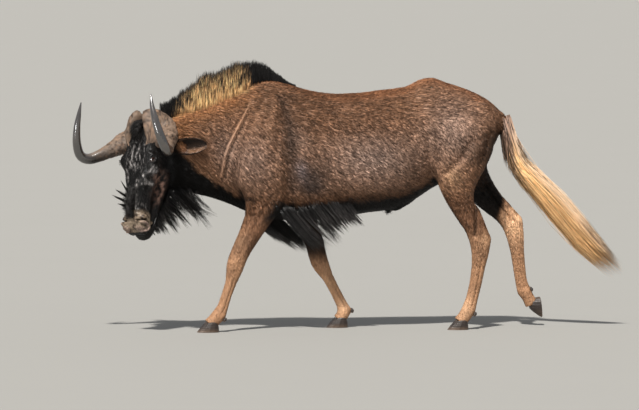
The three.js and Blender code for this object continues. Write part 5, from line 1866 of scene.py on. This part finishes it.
def make_tail(name, seed):
    """Strands that run beside the tail's line for a part of its length, with shorter loose ones on top."""
    draw = np.random.default_rng(seed)
    count, rings = TAIL_STRANDS, TAIL_RINGS
    last = len(TAIL_LINE) - 1
    start = draw.uniform(0.0, 4.2, count) * 0.9
    end = last - 3.4 * draw.random(count) ** 1.2
    loose = (start < 2) & (draw.random(count) < 0.35)
    end = np.where(loose, start + draw.uniform(1.6, 3.2, count), np.maximum(end, start + 3))
    end = np.minimum(end, last)
    around = draw.uniform(0, 2 * math.pi, count)
    share = np.sqrt(draw.random(count))
    stray = np.where(draw.random(count) < 0.04, draw.uniform(1.1, 1.7, count), 1.0)
    high, wide = share * np.cos(around), share * np.sin(around)
    spine = []
    stations = np.arange(last + 1)
    slope = unit(np.gradient(TAIL_LINE[:, :2], axis=0))
    for u in np.linspace(0, 1, rings):
        t = start + (end - start) * u
        line = np.column_stack([np.interp(t, stations, TAIL_LINE[:, k]) for k in range(5)])
        run = unit(np.column_stack([np.interp(t, stations, slope[:, k]) for k in range(2)]))
        spread = min(1.0, 0.5 + 2 * u)
        clear = np.maximum(line[:, 4] / np.maximum(share * line[:, 2], 1), 1)
        spread = np.maximum(spread, line[:, 4] > 0) * clear * (1 + (stray - 1) * u)
        up = high * spread * line[:, 2]
        x = line[:, 0] - run[:, 1] * up
        z = line[:, 1] + run[:, 0] * up
        spine.append(np.column_stack([x, wide * spread * line[:, 3], z]))
    drop = np.linspace(0, 1, rings)[:, None] ** 1.4 * loose * draw.uniform(10, 44, count)
    spine = np.stack(spine)
    spine[..., 0] -= drop
    spine = gathered(spine, TAIL_LOCKS, 0.5, draw)
    spine += draw.normal(0, 2.0, (rings, count, 3)) * np.linspace(0, 1, rings)[:, None, None]
    across = draw.normal(0, 1, (count, 3))
    widths = np.linspace(1, 0.4, rings)[:, None] * draw.uniform(2.0, 4.2, count)[None] / 2
    dim = (draw.random(count) < 0.12) | (loose & (draw.random(count) < 0.7))
    bright = np.where(dim, draw.uniform(0.16, 0.5, count), draw.uniform(1.1, 1.7, count))[:, None]
    across_tail = columns(high * TAIL_STREAKS, wide * TAIL_STREAKS / 3, 0.0)
    bright = bright * (1 + 0.2 * ease(0.0, 0.6, mottle(across_tail, 1, 244)))[:, None]
    bright = bright * (1 - 0.75 * ease(0.25, 0.65, mottle(across_tail, 1, 243)))[:, None]
    colours = []
    for u in np.linspace(0, 1, rings):
        t = start + (end - start) * u
        colour = mixed(CREAM, STRAW, ease(-0.1, 0.7, high))
        colour = mixed(colour, TAIL_BROWN * 0.5, ease(3.2, 1.2, t + 0.9 * high))
        colour = mixed(colour, TAIL_BROWN * 0.55, 0.7 * ease(-0.3, -0.9, high) * ease(4.2, 2.4, t))
        colour = mixed(colour, TAIL_BROWN, 0.35 * ease(last - 1.6, last, t))
        lit = colour * bright
        colours.append(lit / np.maximum(lit.max(axis=1), 1)[:, None])
    return strand_object(name, spine, widths, widths * 0.6, across, np.stack(colours), TAIL_FINISH)


finish_piece(make_tail("tail_hair_one", 241), "tail_hair", "tail_switch")
finish_piece(make_tail("tail_hair_two", 242), "tail_hair")

# %% [markdown]
# ## Horns
#
# A bull's horns start as broad rough bosses that almost meet on the forehead, drop forward and outward,
# and hook up to sharp, polished tips. Each is a tube of changing breadth, finer than its solid, with pits
# and wrinkles on the boss.

# %% Horns
# The left horn's middle line and half breadths: s, d, n, half thickness, half breadth along the face.
HORN_LINE = np.array([
    (26, -14, 34, 34, 66),
    (36, -20, 32, 42, 92),
    (52, -38, 36, 42, 100),
    (76, -67, 46, 42, 88),
    (104, -70, 66, 44, 66),
    (133, -48, 89, 44, 54),
    (166, -16, 121, 36, 35),
    (201, 22, 154, 28, 27),
    (234, 62, 176, 24.5, 25),
    (249, 104, 167, 22.5, 23),
    (245, 140, 120, 20, 21),
    (231, 165, 54, 16, 17),
    (216, 177, -6, 10.5, 10.5),
    (206, 181, -62, 2.5, 2.5),
], float)
HORN_SIDES = 48
HORN_RINGS = 150


def eased_rows(rows, count):
    """A smooth curve through rows of numbers, evenly spaced along its first three."""
    last = len(rows) - 1
    padded = np.vstack([2 * rows[0] - rows[1], rows, 2 * rows[-1] - rows[-2]])
    fine = np.linspace(0, last, 40 * last + 1)
    k = np.minimum(fine.astype(int), last - 1)
    t = (fine - k)[:, None]
    a, b, c, d = (padded[k + j] for j in range(4))
    curve = 0.5 * (2 * b + (c - a) * t + (2 * a - 5 * b + 4 * c - d) * t**2 + (3 * b - a - 3 * c + d) * t**3)
    length = np.concatenate([[0], np.cumsum(np.linalg.norm(np.diff(curve[:, :3], axis=0), axis=1))])
    even = np.linspace(0, length[-1], count)
    smooth = np.column_stack([np.interp(even, length, column) for column in curve.T])
    return smooth, even / length[-1]


def horn_colour(places, along, below, cracks, grainy):
    """Tan and pitted on the boss, then grey, and almost black on the polished shaft, with painted shade
    underneath.
    """
    colour = mixed(HORN_TAN, HORN_GREY, 0.6 * cracks + 0.5 * below * ease(0.1, 0.25, along))
    wander = mottle(places, 30, 37)
    colour = mixed(colour, HORN_GREY, ease(0.36, 0.48, along + 0.06 * wander + 0.06 * below))
    colour = mixed(colour, HORN_DARK, 0.95 * ease(0.5, 0.66, along + 0.05 * wander))
    # Painted shade on the underside, darkest under the bend.
    colour = mixed(colour, HORN_DARK * 0.3, 0.9 * below * bell(along, 0.52, 0.16))
    colour = mixed(colour, HORN_DARK * 0.45, 0.6 * bell(along, 0.6, 0.1))
    pits = ease(0.05, 0.6, mottle(places, 7, 36)) + 0.8 * ease(0.1, 0.7, mottle(places, 14, 38))
    colour = mixed(colour, HORN_PIT, 0.75 * pits * grainy)
    wear = ease(0.2, 0.8, mottle(places * (1, 1, 0.6), 8, 39))
    colour = mixed(colour, HORN_PALE, 0.5 * wear * grainy)
    return colour * (1 + 0.24 * mottle(places, 16, 35))[:, None]


def make_horn(name, sign):
    """A tube along the horn's line, its boss wrinkled and cracked."""
    rows, share = eased_rows(HORN_LINE, HORN_RINGS)
    centre = CROWN + (rows[:, :3] * (sign, 1, 1)) @ HEAD_AXES
    run = unit(np.gradient(centre, axis=0))
    side = DOWN_FACE.copy()
    rings = []
    angles = np.linspace(0, 2 * math.pi, HORN_SIDES, endpoint=False)
    for k in range(HORN_RINGS):
        side = unit(side - run[k] * (side @ run[k]))
        forward = np.cross(run[k], side)
        rings.append(
            centre[k]
            + np.cos(angles)[:, None] * side * rows[k, 4]
            + np.sin(angles)[:, None] * forward * rows[k, 3]
        )
    points = np.array(rings)
    places = points.reshape(-1, 3)
    rough = ease(0.5, 0.3, share)[:, None]
    relief = 2.6 * mottle(places, 26, 31) + 2.3 * mottle(places, 10, 32) + 1.3 * mottle(places, 5, 33)
    cracks = ease(0.86, 0.97, 1 - np.abs(mottle(places, 17, 34)))
    relief = (relief - 1.8 * cracks).reshape(HORN_RINGS, HORN_SIDES)
    lines = np.sin(share * 260)[:, None] * np.ones((1, HORN_SIDES))
    relief = rough * (relief + 0.6 * lines) + 0.25 * (1 - rough) * lines * (share < 0.8)[:, None]
    points = points + unit(points - centre[:, None, :]) * relief[..., None]
    obj = closed_tube(name, points)
    along = np.repeat(share, HORN_SIDES)
    # How far each point faces down, where shade is painted on the horn.
    below = np.tile(ease(0.2, 0.9, np.cos(angles)), HORN_RINGS)
    grainy = np.repeat(rough[:, 0], HORN_SIDES)
    colour_attribute(obj.data, horn_colour(places, along, below, cracks, grainy))
    point_values(obj.data, "Gloss", 0.6 - 0.42 * ease(0.36, 0.55, along))
    point_values(obj.data, "Polish", ease(0.44, 0.6, along))
    ring = columns(np.cos(angles), np.sin(angles)) * 0.03
    point_values(obj.data, "Grain", np.column_stack([along * 0.5, np.tile(ring, (HORN_RINGS, 1))]))
    obj.data.materials.append(HORN_FINISH)
    return obj


def horn_material():
    material, tree, shader, _ = coat_material("horn", 0.42, TINT, {"Scale": 140.0, "Amount": 0.5}, 0.25)
    shader.inputs["Coat Roughness"].default_value = 0.16
    shader.inputs["Coat IOR"].default_value = 2.1
    from_mesh(tree, shader, "Gloss", "Roughness")
    from_mesh(tree, shader, "Polish", "Coat Weight")
    grain = node(tree, "ShaderNodeGroup", {"node_tree": GRAIN}, {"Scale": 160.0, "Rough share": 1.0})
    add_bump(tree, shader, grain, 0.25, 0.001)
    return material


HORN_FINISH = horn_material()
for name, sign in SIDES.items():
    finish_piece(make_horn("horn_fine_" + name, sign), "horn", "horn_" + name)

# %% [markdown]
# ## Eyes and lids
#
# A wildebeest's eye is large, dark and wet, with a wide level pupil. The ball bulges a little at the
# cornea. Two thick lids, bare and black, frame it.

# %% Eyes
IRIS = paint("#2a1710")
EYE_RINGS, EYE_SIDES = 40, 64
LID_RINGS, LID_SIDES = 72, 12
LID_WIDE, LID_TALL = math.radians(45), math.radians(29)
LASH_COUNT = 110


def eye_axes(sign):
    """The middle of the eye, where it looks, the line of its opening and the way over it."""
    return head_mm(EYE[0] * sign, EYE[1], EYE[2]), *square_axes(EYE_LOOK, EYE_SLIT, sign)


def make_eye(name, sign):
    """A ball with a bulging cornea, a brown iris and a wide pupil."""
    centre, look, slit, over = eye_axes(sign)
    angle = np.linspace(0.004, math.pi - 0.004, EYE_RINGS)[:, None]
    turn = np.linspace(0, 2 * math.pi, EYE_SIDES, endpoint=False)[None]
    radius = EYE_RADIUS - 0.4 + 1.1 * np.exp(-((angle / 0.5) ** 2))
    points = (
        centre
        + (radius * np.cos(angle) * np.ones_like(turn))[..., None] * look
        + (radius * np.sin(angle) * np.cos(turn))[..., None] * slit
        + (radius * np.sin(angle) * np.sin(turn))[..., None] * over
    )
    obj = closed_tube(name, points)
    along = (np.sin(angle) * np.cos(turn)).ravel()
    across = (np.sin(angle) * np.sin(turn)).ravel()
    away = np.repeat(angle.ravel(), EYE_SIDES)
    colour = mixed(SOOT * 1.2, IRIS, ease(0.78, 0.66, away))
    pupil = (along / 0.36) ** 2 + (across / 0.2) ** 2
    colour = mixed(colour, SOOT * 0.2, ease(1.15, 0.9, pupil))
    colour_attribute(obj.data, colour)
    obj.data.materials.append(EYE_FINISH)
    return obj


def eye_material():
    material, _, shader, _ = coat_material("eye", 0.06, TINT, {"Scale": 400.0, "Amount": 0.3}, 0.1)
    shader.inputs["Coat Weight"].default_value = 1.0
    shader.inputs["Coat Roughness"].default_value = 0.1
    return material


def make_lids(name, sign):
    """A closed ring of skin round the opening, thicker over the eye than under it."""
    centre, look, slit, over = eye_axes(sign)
    turn = np.linspace(0, 2 * math.pi, LID_RINGS, endpoint=False)
    across = np.cos(turn) * LID_WIDE
    up = np.abs(np.sin(turn)) ** 1.25 * np.sign(np.sin(turn)) * LID_TALL
    away = unit(look + np.tan(across)[:, None] * slit + np.tan(up)[:, None] * over)
    middle = centre + away * (EYE_RADIUS + 0.4)
    run = unit(np.roll(middle, -1, axis=0) - np.roll(middle, 1, axis=0))
    outward = np.cross(run, away)
    bulk = 1.9 + 0.9 * np.abs(np.sin(turn))
    angles = np.linspace(0, 2 * math.pi, LID_SIDES, endpoint=False)
    points = (
        middle[:, None]
        + np.cos(angles)[None, :, None] * away[:, None] * 1.9
        + np.sin(angles)[None, :, None] * outward[:, None] * bulk[:, None, None]
    )
    places = points.reshape(-1, 3)
    obj = new_object(name, placed(places), ring_faces(LID_RINGS, LID_SIDES).reshape(-1, 4))
    colour_attribute(obj.data, BLACK * 0.9 * (1 + 0.4 * mottle(places, 4, 41))[:, None])
    obj.data.materials.append(LID_FINISH)
    return obj


def make_lashes(name, sign, seed):
    """Short stiff lashes along the upper lid, slanting out and down."""
    draw = np.random.default_rng(seed)
    centre, look, slit, over = eye_axes(sign)
    count = LASH_COUNT
    turn = draw.uniform(0.08, 0.92, count) * math.pi
    across = np.cos(turn) * math.radians(43)
    up = -np.sin(turn) ** 1.25 * math.radians(31)
    away = unit(look + np.tan(across)[:, None] * slit + np.tan(up)[:, None] * over * sign)
    roots = centre + away * (EYE_RADIUS + 1.5)
    directions = unit(away + 0.5 * OUT_OF_FACE + draw.normal(0, 0.12, (count, 3)) + DOWN_FACE * 0.25)
    bends = np.tile(DOWN_FACE * 0.35, (count, 1))
    lengths = draw.uniform(7, 14, count)
    side = draw.normal(0, 1, (count, 3))
    tint = dark_tint(count, draw, 0.1)
    return hair(
        name, draw, roots, directions, bends, lengths, side, tint,
        width=0.9, rings=4, locks=40, pull=0.2, sunk=2.0,
    )


EYE_FINISH = eye_material()
LID_FINISH = hair_material("eyelid", 0.5, 0.4, 0.35)
for name, sign in SIDES.items():
    finish_piece(make_eye("eye_fine_" + name, sign), "eye", "eye_" + name)
    finish_piece(make_lids("eyelids_" + name, sign), "face_coat")
    finish_piece(make_lashes("lashes_" + name, sign, 260 + sign), "black_hair")

# %% [markdown]
# ## Ears
#
# The ears are pointed leaves rolled into a tube at the base, held level behind the horns with the opening
# forward. Outside they have the coat's brown, inside they are dark with pale hairs along the rim.

# %% Ears
EAR_ROOT = (64, -138, 102)
EAR_LIE = (0.97, -0.26, -0.05)
EAR_OPEN = (0.2, 0.92, 0.3)
EAR_LENGTH = 198
# Along the ear: share of its length, half breadth, depth of the cup and thickness of the wall.
EAR_LINE = np.array([
    (0, 24, 18, 17),
    (0.16, 29, 20, 15),
    (0.32, 37, 21, 6),
    (0.52, 42, 18, 4.5),
    (0.72, 39, 13, 4),
    (0.88, 28, 9, 3),
    (1, 11, 4, 2),
], float)
EAR_BEND = 14
EAR_RINGS = 44
EAR_ARC = 18
EAR_HAIRS = 1500


def ear_axes(sign):
    """The ear's root, the way it points, the way its cup opens and the way across it."""
    return head_mm(EAR_ROOT[0] * sign, EAR_ROOT[1], EAR_ROOT[2]), *square_axes(EAR_LIE, EAR_OPEN, sign)


def make_ear(name, sign):
    """A leaf with a thick wall: each ring runs along the outside and back along the inside."""
    root, lie, opening, across = ear_axes(sign)
    shares = np.linspace(0, 1, EAR_RINGS)
    rows = [np.interp(shares, EAR_LINE[:, 0], EAR_LINE[:, k]) for k in (1, 2, 3)]
    half, cup, wall = (np.convolve(np.pad(row, 3, mode="edge"), np.ones(7) / 7, mode="valid") for row in rows)
    half[-3:] *= (0.8, 0.5, 0.15)
    angles = np.linspace(0, math.pi, EAR_ARC)
    rings = []
    for k, share in enumerate(shares):
        centre = root + lie * EAR_LENGTH * share - opening * EAR_BEND * share**2

        def edge(reach, deep, forward):
            return (
                centre
                + np.cos(angles)[:, None] * across * reach
                - np.sin(angles)[:, None] * opening * deep
                + opening * forward
            )

        thin = np.minimum(wall[k], 3.2) if share > 0.3 else wall[k]
        outer = edge(half[k] - 1, cup[k] - 0.6, 0)
        inner = edge(max(half[k] - 0.7 * thin - 1, 0.4), max(cup[k] - thin, 0.3), 0.3 * thin)
        rings.append(np.concatenate([outer, inner[::-1]]))
    points = np.array(rings)
    obj = closed_tube(name, points)
    inside = np.tile(np.repeat((0, 1), EAR_ARC), EAR_RINGS)
    beside = np.tile(np.cos(np.concatenate([angles, angles[::-1]])), EAR_RINGS)
    along = np.repeat(shares, 2 * EAR_ARC)
    colour = mixed(BROWN * 0.8, BLACK * 1.2, inside * 0.95)
    glow = inside * ease(0.2, 0.6, sign * beside) * ease(0.4, 0.6, along)
    colour = mixed(colour, LEG_TAN * 0.8, 0.6 * glow)
    colour = mixed(colour, BLACK, 0.95 * np.abs(beside) ** 6)
    colour_attribute(obj.data, colour * (1 + 0.2 * mottle(points.reshape(-1, 3), 12, 51))[:, None])
    obj.data.materials.append(COAT_FINISH)
    return obj


def make_ear_hair(name, sign, seed):
    """Dark hair along both rims, and a pale tuft low in the cup and towards its tip."""
    draw = np.random.default_rng(seed)
    root, lie, opening, across = ear_axes(sign)
    count = EAR_HAIRS
    share = draw.uniform(0.12, 0.97, count)
    half, cup = (np.interp(share, EAR_LINE[:, 0], EAR_LINE[:, k]) for k in (1, 2))
    turn = np.where(draw.random(count) < 0.6, draw.choice([0.06, 0.94], count), draw.random(count)) * math.pi
    centre = root + lie * (EAR_LENGTH * share)[:, None] - opening * (EAR_BEND * share**2)[:, None]
    roots = centre + across * (np.cos(turn) * (half - 3))[:, None]
    roots = roots - opening * (np.sin(turn) * (cup - 3))[:, None]
    inward = across * (-np.cos(turn) * 0.35)[:, None]
    directions = unit(lie * draw.uniform(0.5, 1.0, count)[:, None] + opening * 0.5 + inward)
    bends = draw.normal(0, 0.08, (count, 3))
    lengths = draw.uniform(10, 26, count) * (1 - 0.4 * share)
    low = sign * np.cos(turn)
    pale = ease(-0.05, 0.4, low) * ease(0.995, 0.94, low) * ease(0.2, 0.4, share)
    pale = pale * (draw.random(count) < 0.85)
    colour = mixed(DEEP_BROWN * 0.22, GREY_BROWN * 1.25, pale)
    tint = lambda share: colour * (0.7 + 0.5 * share)
    return hair(
        name, draw, roots, directions, bends, lengths, tint=tint,
        width=1.5, rings=4, locks=120, pull=0.3, material=COAT_FINISH,
    )


for seed, (name, sign) in enumerate(SIDES.items(), 251):
    finish_piece(make_ear("ear_fine_" + name, sign), "coat", "ear_" + name)
    finish_piece(make_ear_hair("ear_hair_" + name, sign, seed), "coat")

# %% [markdown]
# ## Hooves
#
# Each foot stands on two claws of dark horn with fine growth rings, and carries two small dewclaws behind
# the fetlock. The solids have the right shape, so each is only made finer, rounded and grained.

# %% Hooves


def hoof_material():
    material, tree, shader, _ = coat_material("hoof", 0.45, TINT, {"Scale": 150.0, "Amount": 0.5})
    grain = node(tree, "ShaderNodeGroup", {"node_tree": GRAIN}, {"Scale": 220.0, "Rough share": 0.7})
    add_bump(tree, shader, grain, 0.4, 0.001)
    return material


HOOF_FINISH = hoof_material()
HOOF_DARK = paint("#2b221d")
HOOF_PALE = paint("#6f5a49")
CLAW_SWELL = 0.0002
CLAW_ROUNDS = 4
GROWTH_RING = 0.35


def make_claw(solid, voxel):
    """A finer, rounded copy of a claw's solid, flat on the floor, with growth rings and grain."""
    obj = remeshed(solid + "_fine", *swollen([solid], CLAW_SWELL), voxel)
    points = mesh_points(obj.data)
    floor_level = points[:, 2].min()
    soft = evened(points, neighbours(obj.data), CLAW_ROUNDS, np.full(len(points), 0.5))
    soft[:, 2] = np.maximum(soft[:, 2], floor_level)
    own = body_mm(soft)
    low, high = own[:, 2].min(), own[:, 2].max()
    height = (own[:, 2] - low) / (high - low)
    rings = GROWTH_RING * np.sin(height * 34 + 2 * mottle(own, 25, 61)) * (height > 0.04)
    own = own + mesh_normals(obj.data) * rings[:, None]
    own[:, 2] = np.maximum(own[:, 2], low)
    set_points(obj.data, placed(own))
    colour = mixed(HOOF_DARK, HOOF_PALE, 0.5 * ease(0.5, 0.0, height) + 0.3 * ease(0.85, 1, height))
    colour_attribute(obj.data, colour * (1 + 0.25 * mottle(own * (0.3, 0.3, 1.5), 6, 62))[:, None])
    point_values(obj.data, "Grain", own * MM)
    obj.data.materials.clear()
    obj.data.materials.append(HOOF_FINISH)
    return obj


for leg in LEGS:
    for place in ("inner", "outer"):
        for kind, voxel in (("claw", 0.0022), ("dewclaw", 0.0016)):
            solid = f"{kind}_{leg}_{place}"
            finish_piece(make_claw(solid, voxel), "hoof", solid)

# %% [markdown]
# ## Floor
#
# The figure stands on a plain pale floor, wide enough to reach the horizon of a long lens.

# %% Floor
FLOOR_REACH = 900
FLOOR_COLOUR = (0.27, 0.265, 0.25, 1)


def floor_material():
    """A pale matt finish with faint broad patches."""
    material = bpy.data.materials.new("pale_floor")
    material.use_nodes = True
    tree = material.node_tree
    shader = tree.nodes["Principled BSDF"]
    shader.inputs["Roughness"].default_value = 0.9
    tint = node(tree, "ShaderNodeGroup", {"node_tree": TINT}, {"Scale": 0.8, "Amount": 0.03})
    tint.inputs["Color"].default_value = FLOOR_COLOUR
    wired(tree, (tint, "Color", shader, "Base Color"))
    return material


floor_corners = np.array([(-1, -1, 0), (1, -1, 0), (1, 1, 0), (-1, 1, 0)]) * float(FLOOR_REACH)
floor = new_object("floor", floor_corners, [(0, 1, 2, 3)])
floor.data.materials.append(floor_material())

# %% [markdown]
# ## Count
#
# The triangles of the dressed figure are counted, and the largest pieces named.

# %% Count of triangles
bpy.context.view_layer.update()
shown = [o.data for o in bpy.data.objects if o.type == "MESH" and not o.hide_render and o != floor]
triangles = {mesh.name: len(mesh.loops) - 2 * len(mesh.polygons) for mesh in shown}
print("triangles shown:", sum(triangles.values()))
print("largest pieces:", sorted(triangles.items(), key=lambda row: -row[1])[:4])
